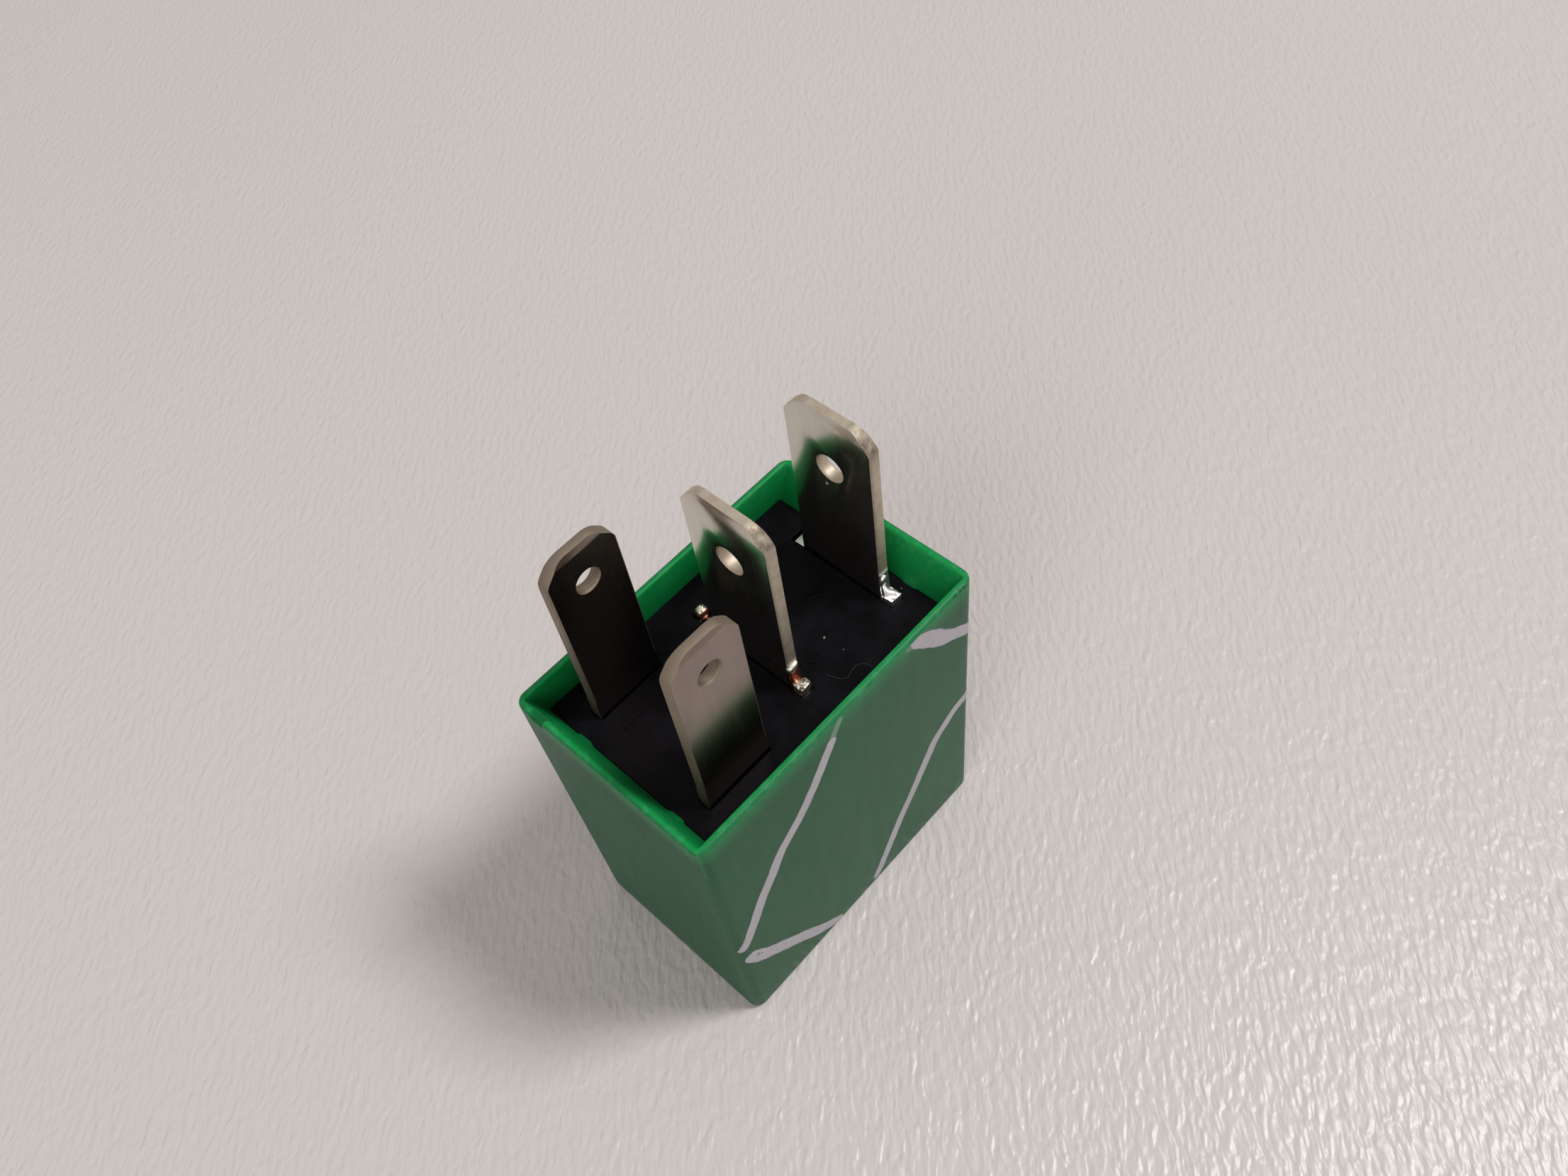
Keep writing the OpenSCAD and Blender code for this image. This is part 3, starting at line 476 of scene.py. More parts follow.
def dressed(name, node, body, slot, width_mm, cuts=()):
    """A CAD node with rounded edges; cuts are heights in mm where the mesh gets a ring of edges."""
    mesh = merged(node)
    if cuts:
        bm = bmesh.new()
        bm.from_mesh(mesh)
        for z in cuts:
            bmesh.ops.bisect_plane(bm, geom=bm.verts[:] + bm.edges[:] + bm.faces[:], dist=1e-7,
                                   plane_co=(0.0, 0.0, z * MM), plane_no=(0.0, 0.0, 1.0))
        mesh = taken(bm, name)
    return piece(name, edged(mesh, width_mm), body, slot, node)


def skin(bm, rows):
    """Joins closed rows of vertices one to the next and closes both ends."""
    for low, high in zip(rows, rows[1:]):
        for i in range(len(low)):
            n = (i + 1) % len(low)
            bm.faces.new((low[i], low[n], high[n], high[i]))
    bm.faces.new(list(reversed(rows[0])))
    bm.faces.new(rows[-1])


def ring_loft(name, rings):
    """Skins rings of equal length, from the first to the last."""
    bm = bmesh.new()
    skin(bm, [[bm.verts.new(p) for p in ring] for ring in rings])
    return taken(bm, name, True)


def joined(name, meshes):
    bm = bmesh.new()
    for mesh in meshes:
        bm.from_mesh(mesh)
    return taken(bm, name)


# Settings

def length(name, text, default):
    return bpy.props.FloatProperty(name=name, description=text, default=default, unit="LENGTH",
                                   subtype="DISTANCE", precision=5)


def colour(what, default):
    return bpy.props.FloatVectorProperty(name=what.capitalize(), description="Colour of the " + what,
                                         default=default, size=3, min=0.0, max=1.0, subtype="COLOR")


class RelayStyle(PropertyGroup):
    """Colours of the relay's plastics, metals and paint."""

    green: colour("cover", (0.003, 0.08, 0.026))
    # the paler green below is painted light through the thin rim, and also the colour of hairline scratches and of
    # the cover under thin paint
    green_pale_glow_and_scratch: colour("cover where it is thin", (0.02, 0.24, 0.08))
    # painted light: the glow painted on the inner walls by the rim
    green_painted_glow: colour("cover's inner walls by the rim", (0.003, 0.27, 0.058))
    black: colour("base", (0.0022, 0.0018, 0.0028))
    black_worn: colour("base where it is rubbed", (0.0052, 0.0046, 0.0068))
    fibre: colour("stray fibre on the base", (0.03, 0.026, 0.024))
    tin: colour("plated load blades", (0.70, 0.66, 0.585))
    tin_dull: colour("plated coil blades", (0.27, 0.215, 0.185))
    edge: colour("sheared edges of the blades", (0.46, 0.38, 0.29))
    torn: colour("torn stub of the switched terminal", (0.9, 0.9, 0.9))
    torn_common: colour("torn stubs of the common terminal", (0.82, 0.78, 0.66))
    copper: colour("bare copper alloy", (0.42, 0.12, 0.055))
    steel: colour("magnet's iron", (0.5, 0.5, 0.49))
    brass: colour("contact spring", (0.7, 0.46, 0.2))
    silver: colour("contacts", (0.82, 0.8, 0.77))
    lacquer: colour("resistor's lacquer", (0.26, 0.4, 0.46))
    marker: colour("paint strokes on the cover", (0.42, 0.4, 0.43))
    floor: colour("table", (0.61, 0.56, 0.54))


class RelaySizes(PropertyGroup):
    """Small sizes that the dressing adds to the solids."""

    press_radius: length("Pressed edge", "Radius of the edges of stamped pieces", 0.00004)
    mould_radius: length("Moulded edge", "Radius of the edges of moulded pieces", 0.00006)
    wire: length("Coil wire", "Diameter of one turn of the winding", 0.00014)
    stroke: bpy.props.FloatProperty(name="Stroke",
                                    description="Width of the marker strokes, as a share of the usual",
                                    default=1.0, min=0.2, max=1.5)
    film: length("Paint film", "Thickness of the marker paint", 0.00002)
    digit: length("Digit", "Height of the numbers on the base", 0.0016)
    lens: bpy.props.FloatProperty(name="Lens", description="Focal length of the camera in millimetres",
                                  default=30.36, min=1.0)


def style():
    return bpy.context.scene.relay_style


def sizes():
    return bpy.context.scene.relay_sizes


# Cover

# Depth of the base below the rim, thickness of the short walls and of the closed end, draft, corner radius
RECESS, PAD, FLOOR, DRAFT, CORNER = 2.5, 1.5, 0.8, 0.16, 0.8
CORNER_STEPS = 10
NIB_Y, NIB_HALF, NIB_REACH = 3.75, 0.55, 0.12
VENT_LOW, VENT_HIGH, VENT_DEPTH = 5.0, 6.1, 0.52
SHORT_SIDE = sorted({round(-6.2 + 0.2 * k, 3) for k in range(63)} | {VENT_LOW - 0.03, VENT_LOW + 0.02},
                    reverse=True)
LONG_STEPS = 26
STROKE_STEP = 0.11

# Inner side of the rim: depth below the rim, inset of the short walls, inset of the long walls, corner radius
LIP = ((0.0, 0.19, 0.33, 0.5), (0.01, 0.27, 0.395, 0.4), (0.03, 0.34, 0.44, 0.32), (0.07, 0.4, 0.472, 0.26),
       (0.13, 0.455, 0.49, 0.22), (0.22, 0.51, 0.498, 0.18), (0.35, 0.575, 0.5, 0.15), (0.55, 0.67, 0.5, 0.14))


def cover_size():
    """Height, half length and half width in millimetres; the long walls leave room for the paint film."""
    return COVER_TOP.z / MM, COVER_TOP.x / MM, (COVER_TOP.y - sizes().film * 1.1) / MM


def quarter(steps):
    """Cosine and sine along a quarter turn."""
    return [(math.cos(a), math.sin(a)) for a in (math.radians(90 * k / steps) for k in range(steps + 1))]


def smooth_step(t):
    t = min(1.0, max(0.0, t))
    return t * t * (3 - 2 * t)


def rounded_ring(half_l, half_w, radius, z):
    """Points of a rounded rectangle at height z, all in millimetres."""
    points = []
    squeeze = min(1.0, (half_w - radius) / 6.3)
    for i, (east, north) in enumerate(((1, 1), (-1, 1), (-1, -1), (1, -1))):
        for c, s in quarter(CORNER_STEPS):
            c, s = (s, c) if i % 2 else (c, s)
            points.append((east * (half_l - radius + radius * c), north * (half_w - radius + radius * s), z))
        last = points[-1]
        if i % 2:
            points += [(last[0], (y if i == 1 else -y) * squeeze, z) for y in SHORT_SIDE]
        else:
            points += [(last[0] * (1 - 2 * k / LONG_STEPS), last[1], z) for k in range(1, LONG_STEPS)]
    return points


def cover_rings(height, half_l, half_w):
    """Rings from the middle of the closed end, up the outside, over the rim and down the inside."""
    rings = []

    def add(z, in_l, in_w, radius):
        slope = DRAFT * (1 - z / height)
        rings.append((half_l - in_l - slope, half_w - in_w - slope, radius, z))

    def end(inset, radius, z, shares):
        for t in shares:
            rings.append((half_l - half_w + (half_w - inset) * t, (half_w - inset) * t, 0.01 + radius * t, z))

    end(0.66, 0.5, 0.0, (0.02, 0.35, 0.7, 0.9))
    for c, s in quarter(6):
        add(0.5 * (1 - c), 0.5 * (1 - s), 0.5 * (1 - s), CORNER - 0.25 * (1 - s))
    for k in range(1, 16):
        add(0.5 + (height - 0.75) * k / 16, 0.0, 0.0, CORNER)
    for c, s in quarter(7):
        add(height - 0.26 * (1 - s), 0.12 * (1 - c), 0.3 * (1 - c), CORNER - 0.18 * (1 - c))
    for depth, in_l, in_w, radius in LIP:
        add(height - depth, in_l, in_w, radius)
    depth, in_l = LIP[-1][:2]
    for k in range(1, 14):
        t = k / 13
        add(height - depth - (RECESS - 0.012 - depth) * t, in_l + (PAD - in_l) * t, 0.5, 0.14)
    add(height - RECESS + 0.006, PAD, 0.5, 0.14)
    for k in range(1, 6):
        z = height - RECESS - (height - RECESS - FLOOR) * k / 5
        add(z, PAD - DRAFT * (1 - z / height), 0.5, 0.3)
    end(PAD, 0.2, FLOOR, (0.8, 0.4, 0.02))
    return rings


def wall_point(x, z, height, half_l, half_w, lift):
    """Point on the long outer wall on the -Y side, following the round corners."""
    slope = DRAFT * (1 - z / height)
    flat = half_l - slope - CORNER
    over = min(max(abs(x) - flat, 0.0), CORNER * 0.97)
    a = math.asin(over / CORNER)
    side = math.copysign(1.0, x)
    return Vector((side * (min(abs(x), flat) + (CORNER + lift) * math.sin(a)),
                   -(half_w - slope - CORNER + (CORNER + lift) * math.cos(a)), z)) * MM


class RELAY_OT_cover(Operator):
    """Moulds the green cover with its rounded rim, its sloped lip, the vent notch and the snap nibs"""

    bl_idname = "relay.cover"
    bl_label = "Cover"

    def execute(self, context):
        height, half_l, half_w = cover_size()
        rings = [[self.detail(Vector(p), height, half_l, count) for p in rounded_ring(*ring)]
                 for count, ring in enumerate(cover_rings(height, half_l, half_w))]
        green_plastic(style()).wear(piece("cover_shell", smoothed(ring_loft("cover_shell", rings), 48.0),
                                          HOUSING, "green_plastic", "cover"))
        return {"FINISHED"}

    def detail(self, p, height, half_l, count):
        """Cuts the vent, raises the nibs and lets the rim wander a little, as moulding leaves it."""
        x, y, z = p
        inner = half_l - abs(x) > 0.7 and count > 20
        if inner and height - RECESS + 0.008 < z < height - 1.3:
            bump = smooth_step((NIB_HALF + 0.06 - abs(abs(y) - NIB_Y)) / 0.16)
            rise = smooth_step((height - 1.95 - z) / 0.4)
            p.x -= math.copysign(NIB_REACH * bump * rise, x)
        if z > height - 0.5:
            drop = 0.006 * (1 + math.sin(0.8 * x + 1.0) * math.sin(1.1 * y + 0.4))
            p.z -= drop * smooth_step((z - height + 0.3) / 0.3)
            if x < -half_l + PAD:
                cut = smooth_step((y - VENT_LOW + 0.03) / 0.05) * smooth_step((VENT_HIGH + 0.2 - y) / 0.3)
                p.z = min(p.z, height - VENT_DEPTH * cut)
        return p * MM


class RELAY_OT_strokes(Operator):
    """Paints the plain marker strokes on the long wall of the cover"""

    bl_idname = "relay.strokes"
    bl_label = "Marker strokes"

    # height of the film (1 is full), then (x, z, half width) along each stroke, all in millimetres
    RUNS = (
        (1.0, ((11.42, 20.75, 0.42), (11.2, 20.85, 0.46), (10.75, 21.1, 0.5), (9.9, 21.75, 0.5),
               (9.2, 22.25, 0.54), (8.4, 22.95, 0.62), (7.5, 23.95, 0.66), (6.7, 24.8, 0.6),
               (6.0, 25.4, 0.45), (5.6, 25.6, 0.3))),
        (0.2, ((6.5, 25.0, 0.4), (5.6, 25.35, 0.34), (5.1, 25.5, 0.2))),
        (1.0, ((-1.1, 24.3, 0.4), (-2.2, 22.65, 0.44), (-4.0, 20.15, 0.46), (-6.3, 18.0, 0.48),
               (-7.4, 16.4, 0.5), (-8.55, 14.75, 0.5), (-9.65, 12.8, 0.48), (-10.4, 11.5, 0.46),
               (-10.85, 11.08, 0.46), (-11.2, 11.1, 0.4))),
        (0.3, ((-1.5, 23.8, 0.3), (-0.9, 24.75, 0.26), (-0.3, 25.6, 0.22))),
        (1.0, ((-10.85, 9.45, 0.34), (-10.4, 8.95, 0.52), (-9.45, 7.5, 0.56), (-8.3, 6.2, 0.56),
               (-6.5, 4.25, 0.54), (-4.8, 2.3, 0.5), (-3.45, 1.05, 0.42), (-2.7, 0.6, 0.3))),
        (1.0, ((11.35, 12.95, 0.38), (10.7, 13.0, 0.45), (9.6, 12.75, 0.46), (8.6, 12.1, 0.48),
               (7.5, 11.3, 0.5), (6.3, 9.4, 0.48), (4.95, 7.35, 0.45), (3.5, 5.2, 0.46), (2.1, 2.7, 0.44),
               (1.2, 1.3, 0.42), (0.7, 0.75, 0.3))),
    )

    def execute(self, context):
        bm = bmesh.new()
        layers = bm.verts.layers.float.new("across"), bm.verts.layers.float.new("paint")
        for seed, (amount, run) in enumerate(self.RUNS):
            self.stroke(bm, layers, amount, run, cover_size(), seed)
        film = smoothed(taken(bm, "marker_strokes", True), 60.0)
        marker_paint(style()).wear(piece("marker_strokes", film, HOUSING, "green_plastic"))
        return {"FINISHED"}

    def stroke(self, bm, layers, amount, run, cover, seed):
        rng = random.Random(20 + seed)
        scale = sizes().stroke
        film = sizes().film / MM * (0.5 + 0.5 * amount)
        across, paint = layers
        path = evenly(spline(run, 14), STROKE_STEP)
        total = len(path) - 1
        wave = [rng.uniform(0, 6.28) for _ in range(4)]
        rows = []
        for i, p in enumerate(path):
            ahead = path[min(i + 1, total)] - path[max(i - 1, 0)]
            side = Vector((-ahead.y, ahead.x)).normalized()
            to_end = min(i, total - i) * STROKE_STEP
            half = 1.07 * p.z * scale * math.sqrt(max(0.03, 1 - max(0.0, 1 - to_end / p.z) ** 2))
            row = []
            for s, lift in ((-1.0, -0.6), (-0.97, 0.7), (-0.9, 1.0), (-0.5, 0.85), (0.0, 0.8), (0.5, 0.85),
                            (0.9, 1.0), (0.97, 0.7), (1.0, -0.6)):
                edge = 1 + 0.035 * math.sin(0.19 * i + wave[0] + 3 * (s > 0)) \
                    + 0.025 * math.sin(0.53 * i + wave[1] + 2 * (s > 0)) + rng.uniform(-0.008, 0.008)
                x, z = p.x + side.x * s * half * edge, p.y + side.y * s * half * edge
                v = bm.verts.new(wall_point(x, min(z, cover[0] - 0.27), *cover, lift * film))
                v[across], v[paint] = s, amount
                row.append(v)
            rows.append(row)
        skin(bm, rows)


def spline(points, steps):
    """Catmull-Rom curve through the points."""
    points = [Vector(p) for p in points]
    full = [points[0] * 2 - points[1], *points, points[-1] * 2 - points[-2]]
    out = []
    for a, b, c, d in zip(full, full[1:], full[2:], full[3:]):
        for k in range(steps):
            t = k / steps
            out.append(0.5 * ((2 * b) + (c - a) * t + (2 * a - 5 * b + 4 * c - d) * t * t
                              + (3 * b - a - 3 * c + d) * t ** 3))
    return out + [points[-1]]


def evenly(path, step):
    """The same path with its points one step apart; the third value rides along."""
    out = [path[0]]
    left = step
    for a, b in zip(path, path[1:]):
        run = (b.xy - a.xy).length
        while run > 1e-9 and left <= run:
            a = a.lerp(b, left / run)
            out.append(a)
            run = (b.xy - a.xy).length
            left = step
        left -= run
    return out


# Base

FIBRE = 0.014  # radius


class RELAY_OT_base(Operator):
    """Moulds the black base and the small raised numbers beside its slots"""

    bl_idname = "relay.base"
    bl_label = "Base"

    def execute(self, context):
        places = ("1", -7.2, 2.6), ("2", -7.2, -2.6), ("3", 2.3, -2.9), ("4", 6.3, 0.4)
        digits = joined("base_numbers", [self.digit(*place) for place in places])
        black_plastic(style()).wear(
            dressed("base_plate", "base", HOUSING, "black_plastic", sizes().mould_radius / MM),
            piece("base_numbers", digits, HOUSING, "black_plastic"))
        Finish("fibre", style().fibre, roughness=0.7).wear(
            piece("base_fibre", self.fibre(), HOUSING, "black_plastic"))
        return {"FINISHED"}

    def fibre(self):
        """A stray fibre that lies on the base."""
        path = spline((
            (2.02, -4.1, 0.02), (2.11, -4.39, 0.03), (2.2, -4.68, 0.05), (2.38, -5.01, 0.04), (2.6, -5.18, 0.06),
            (2.88, -5.18, 0.09), (3.23, -5.11, 0.12), (3.58, -5.11, 0.1), (3.91, -5.31, 0.06),
            (4.08, -5.59, 0.03), (4.1, -5.85, 0.02)), 6)
        rings = []
        for i, p in enumerate(path):
            ahead = (path[min(i + 1, len(path) - 1)] - path[max(i - 1, 0)]).normalized()
            side = ahead.cross(Vector((0, 0, 1))).normalized()
            rise = side.cross(ahead)
            centre = p + Vector((0, 0, BASE_TOP))
            rings.append([(centre + (side * math.cos(a) + rise * math.sin(a)) * FIBRE) * MM
                          for a in (math.tau * k / 8 for k in range(8))])
        return smoothed(ring_loft("base_fibre", rings), 60.0)

    def digit(self, text, x, y):
        """A raised figure, turned to read along the base."""
        curve = bpy.data.curves.new("digit", "FONT")
        curve.body = text
        curve.size = sizes().digit * 1.35
        curve.extrude = 0.00005
        curve.bevel_depth = 0.00002
        curve.align_x = curve.align_y = "CENTER"
        mesh = baked(curve)
        mesh.transform(Matrix.Translation((x * MM, y * MM, BASE_TOP * MM - 0.00001))
                       @ Matrix.Rotation(math.radians(90), 4, "Z"))
        return smoothed(mesh)


# Blades

EDGE_END, EDGE_FADE = 25.4, 0.9  # height where the broken edges of the blades end, and the run below it


class RELAY_OT_terminals(Operator):
    """Stamps the four terminals, with pressed edges and the torn lugs where the strip was sheared"""

    bl_idname = "relay.terminals"
    bl_label = "Terminals"

    def execute(self, context):
        s = style()
        radius = sizes().press_radius / MM
        dull = tin_plate(s, "tin_plate_dull", s.tin_dull, 0.2)
        for name in ("coil_terminal_a", "coil_terminal_b"):
            blade = edged(self.run_out(merged(name)), radius)
            dull.wear(piece(name + "_strip", mark_sheared(blade, 1), HOUSING, "tin_plate", name))
        for name, finish, lugs in (
                ("common_terminal", tin_plate(s, "tin_plate_bare_edges", bare=0.95), ("knob", "bead")),
                ("switched_terminal", tin_plate(s), ("block", None))):
            x = DETENTS[name.split("_")[0] + "_detent"].x / MM
            mesh = self.run_out(merged(name))
            for v in mesh.vertices:  # the plain lugs sink into the base, under the torn ones
                if abs(v.co.y) > 3.16 * MM and v.co.z > (BASE_TOP + 0.05) * MM:
                    v.co.z = (BASE_TOP - 0.5) * MM
                elif v.co.y > 4.0 * MM and v.co.z > (BASE_TOP - 0.01) * MM:
                    v.co.y, v.co.z = 3.93 * MM, (BASE_TOP - 0.04) * MM
            parts = [edged(mesh, radius), self.foot(x, lugs[0]), self.stem(x)]
            parts += [self.lug(kind, x, side) for side, kind in zip((-1, 1), lugs) if kind]
            strip = piece(name + "_strip", mark_sheared(joined(name, parts), 0), HOUSING, "tin_plate", name)
            smoothed(dropped(strip.data, "custom_normal", "sharp_edge"), 38.0)
            finish.wear(strip)
        return {"FINISHED"}

    def run_out(self, mesh):
        """Lets the broken edges of a blade run out softly at their lower end."""
        ring = [v for v in mesh.vertices if abs(v.co.z - EDGE_END * MM) < 0.02 * MM]
        ends = [(min(v.co[k] for v in ring), max(v.co[k] for v in ring)) for k in (0, 1)]
        for v in ring:
            if all(min(abs(v.co[k] - end) for end in ends[k]) < 0.002 * MM for k in (0, 1)):
                v.co.z -= EDGE_FADE * MM
        return mesh

    def foot(self, x, kind):
        """Rounded lower end of the pressed edge of a load blade."""
        bm = bmesh.new()
        bmesh.ops.create_icosphere(bm, subdivisions=4, radius=1.0)
        wide, deep, tall, shift, lift = ((0.42, 0.3, 0.29, -0.07, 1.93) if kind == "knob"
                                         else (0.26, 0.26, 0.42, -0.16, 1.62))
        for v in bm.verts:
            square = Vector([math.copysign(abs(c) ** 0.82, c) for c in v.co])
            v.co = Vector((x + shift + wide * square.x, -3.1 + deep * square.y,
                           BASE_TOP + lift + tall * square.z + 0.1 * square.x)) * MM
        return taken(bm, "foot")

    def stem(self, x):
        """Sheared edge of the strip between the blade and its lug, widening towards the base."""
        rings = []
        for z, out, half in ((1.8, 0.02, 0.34), (1.5, 0.03, 0.35), (1.15, 0.05, 0.36), (0.85, 0.1, 0.365),
                             (0.6, 0.17, 0.37), (0.4, 0.26, 0.375), (0.2, 0.36, 0.38), (-0.15, 0.4, 0.38)):
            ring = oval(x, -3.05 - out / 2, BASE_TOP + z, half, 0.1 + out / 2 + 0.02)
            for p in ring:
                p.y += 0.05 * MM * math.sin(5.5 * (p.x / MM - x)) * (p.y < -3.1 * MM)
            rings.append(ring)
        return ring_loft("stem", rings)

    def lug(self, kind, x, side):
        """Torn stub of metal on a lug: a square block, a crumpled knob or a rounded bead."""
        rng = random.Random({"block": 5, "knob": 14, "bead": 17}[kind])
        bm = bmesh.new()
        bmesh.ops.create_cube(bm, size=2.0)
        bmesh.ops.subdivide_edges(bm, edges=bm.edges, cuts=7, use_grid_fill=True)
        centre, half, rough, boxy = {
            "block": ((x, side * 3.6, BASE_TOP + 0.05), (0.44, 0.45, 0.38), 0.035, 0.9),
            "knob": ((x - 0.01, side * 3.62, BASE_TOP + 0.12), (0.46, 0.44, 0.42), 0.035, 0.55),
            "bead": ((x + 0.02, side * 4.62, BASE_TOP + 0.2), (0.4, 0.38, 0.42), 0.02, 0.2)}[kind]
        for v in bm.verts:
            ball = v.co.normalized() * 1.08
            p = ball.lerp(v.co, boxy) + Vector([rng.uniform(-1, 1) for _ in range(3)]) * rough
            if kind == "knob":
                fold = p.x * 0.75 + p.y * 0.66
                crack = p.x * 0.66 - p.y * 0.75 - 0.05
                p.z += (0.3 * (1 - abs(fold))
                        - 0.55 * smooth_step(1 - abs(crack) / 0.24) * (p.y > -0.75)) * (p.z > 0)
            if kind == "bead":
                p.z -= (0.7 * smooth_step(1 - abs(p.x * 0.5 + p.y * 0.8 - 0.1) / 0.22)
                        * (p.z > 0) * (p.x > -0.45))
            if kind == "block":
                p.z += (0.16 * p.x - 0.12 * p.y - 0.35 * smooth_step((p.x - p.y - 1.1) / 0.5)
                        + 0.12 * math.sin(4 * p.x + 2 * p.y)) * (p.z > 0)
            v.co = (Vector(centre) + Vector((a * b for a, b in zip(p, half)))) * MM
        return taken(bm, kind, True)


def oval(x, y, z, half_x, half_y, steps=20, square=3.2):
    """Ring of a squared oval round a point."""
    ring = []
    for k in range(steps):
        a = math.tau * k / steps
        c, s = (math.copysign(abs(w) ** (2 / square), w) for w in (math.cos(a), math.sin(a)))
        ring.append(Vector((x + half_x * c, y + half_y * s, z)) * MM)
    return ring


# Magnet

def wired(tree, nodes, links):
    """Adds nodes given as name: (type, settings, socket values), then links as "node.out > node.in"."""
    made = {}
    for name, spec in nodes.items():
        kind, settings, values = (*spec, {}, {})[:3]
        made[name] = tree.nodes.new(kind)
        for key, value in settings.items():
            setattr(made[name], key, value)
        for key, value in values.items():
            made[name].inputs[key].default_value = value
    for link in links:
        ends = [end.split(".") for end in link.split(" > ")]
        keys = [int(key) if key.isdigit() else key for _, key in ends]
        tree.links.new(made[ends[0][0]].outputs[keys[0]], made[ends[1][0]].inputs[keys[1]])


def node_group(name, inputs, nodes, links):
    """A Geometry Nodes tree with named inputs whose last node, real, is realised and gets the material."""
    tree = bpy.data.node_groups.new(name, "GeometryNodeTree")
    ids = {}
    for label, kind, default in (*inputs, ("Material", "Material", None)):
        socket = tree.interface.new_socket(label, in_out="INPUT", socket_type="NodeSocket" + kind)
        if default is not None:
            socket.default_value = default
        ids[label] = socket.identifier
    tree.interface.new_socket("Geometry", in_out="OUTPUT", socket_type="NodeSocketGeometry")
    wired(tree, {"entry": ("NodeGroupInput",), **nodes,
                 "real": ("GeometryNodeRealizeInstances",),
                 "paint": ("GeometryNodeSetMaterial",), "leave": ("NodeGroupOutput",)},
          (*links, "real.Geometry > paint.Geometry", "entry.Material > paint.Material",
           "paint.Geometry > leave.Geometry"))
    return tree, ids


def grown(group, values, source=None):
    """Runs a tree on a mesh and returns the result as a plain mesh."""
    tree, ids = group
    o = placed("grower", source or bpy.data.meshes.new("grower"))
    m = o.modifiers.new("grow", "NODES")
    m.node_group = tree
    for label, value in values.items():
        m[ids[label]] = value
    return settled(o)


def winding_tree():
    """Turns of wire laid side by side on a cylinder."""
    return node_group(
        "winding_turns",
        (("Radius", "Float", 0.005), ("Length", "Float", 0.01), ("Turns", "Float", 60.0), ("Wire", "Float", 0.00014),
         ("Place", "Vector", (0.0, 0.0, 0.0))),
        {"helix": ("GeometryNodeCurveSpiral", {}, {"Resolution": 48}),
         "profile": ("GeometryNodeCurvePrimitiveCircle", {}, {"Resolution": 8}),
         "half": ("ShaderNodeMath", {"operation": "MULTIPLY"}, {1: 0.5}),
         "tube": ("GeometryNodeCurveToMesh", {}, {"Fill Caps": True}),
         "move": ("GeometryNodeTransform",)},
        ("entry.Turns > helix.Rotations", "entry.Radius > helix.Start Radius", "entry.Radius > helix.End Radius",
         "entry.Length > helix.Height", "entry.Wire > half.0", "half.0 > profile.Radius",
         "helix.Curve > tube.Curve", "profile.Curve > tube.Profile Curve", "tube.Mesh > move.Geometry",
         "entry.Place > move.Translation", "move.Geometry > real.Geometry"))


class RELAY_OT_magnet(Operator):
    """Builds the bobbin, the wound coil, the core, the yoke and the back stop"""

    bl_idname = "relay.magnet"
    bl_label = "Magnet"

    def execute(self, context):
        s = style()
        black_plastic(s).wear(
            dressed("bobbin_spool", "bobbin", HOUSING, "bobbin_plastic", sizes().mould_radius / MM))
        plated_steel(s).wear(dressed("core_rod", "core", HOUSING, "magnet_steel", 0.06),
                             dressed("yoke_frame", "yoke", HOUSING, "magnet_steel", 0.08))
        tin_plate(s).wear(dressed("back_stop_strip", "back_stop", HOUSING, "tin_plate", 0.04))
        self.winding(enamelled_wire(s))
        return {"FINISHED"}

    def winding(self, finish):
        """One layer of turns over a sleeve that stands for the layers below it."""
        low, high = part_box("coil_winding")
        centre = sum(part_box("bobbin"), Vector()) / 2
        radius = (high.x - low.x) / 2
        wire = sizes().wire
        top = min(v.co.z for v in frame["nodes"]["coil_winding"].data.vertices
                  if (v.co.xy - centre.xy).length > radius * 0.995 and v.co.z > low.z + 0.001)
        sleeve = merged("coil_winding")
        for v in sleeve.vertices:
            flat = v.co.xy - centre.xy
            if flat.length > radius * 0.995:
                v.co.xy = centre.xy + flat * ((radius - wire * 0.6) / flat.length)
        span = top - low.z - wire
        turns = grown(winding_tree(), {
            "Radius": radius - wire / 2, "Length": span, "Turns": round(span / wire),
            "Wire": wire, "Place": (centre.x, 0.0, low.z + wire / 2), "Material": finish.material})
        coil = smoothed(joined("coil_wire", [turns, sleeve]), 60.0)
        finish.wear(piece("coil_wire", coil, HOUSING, "enamelled_wire", "coil_winding"))


# Armature and contacts

FLEX_LOW, FLEX_HIGH = 5.5, 9.4  # the upright part of the leaf gets rings of edges between these heights, below its rivets, where the real leaf flexes


class RELAY_OT_armature(Operator):
    """Builds the armature, the contact spring and the two contacts"""

    bl_idname = "relay.armature"
    bl_label = "Armature and contacts"

    def execute(self, context):
        s = style()
        plated_steel(s).wear(dressed("armature_plate", "armature", ARMATURE, "magnet_steel", 0.06))
        leaf = dressed("contact_leaf", "contact_spring", None, "spring_alloy", 0.03,
                       [FLEX_LOW + (FLEX_HIGH - FLEX_LOW) * i / 8 for i in range(9)])
        rolled_strip("spring_alloy", s.brass, 0.3).wear(leaf)
        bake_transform(leaf)
        silver = bright_metal("contact_silver", s.silver, 0.25, 0.01)
        silver.wear(dressed("moving_button", "moving_contact", ARMATURE, "contact_silver", 0.05),
                    dressed("fixed_button", "fixed_contact", HOUSING, "contact_silver", 0.05))
        return {"FINISHED"}


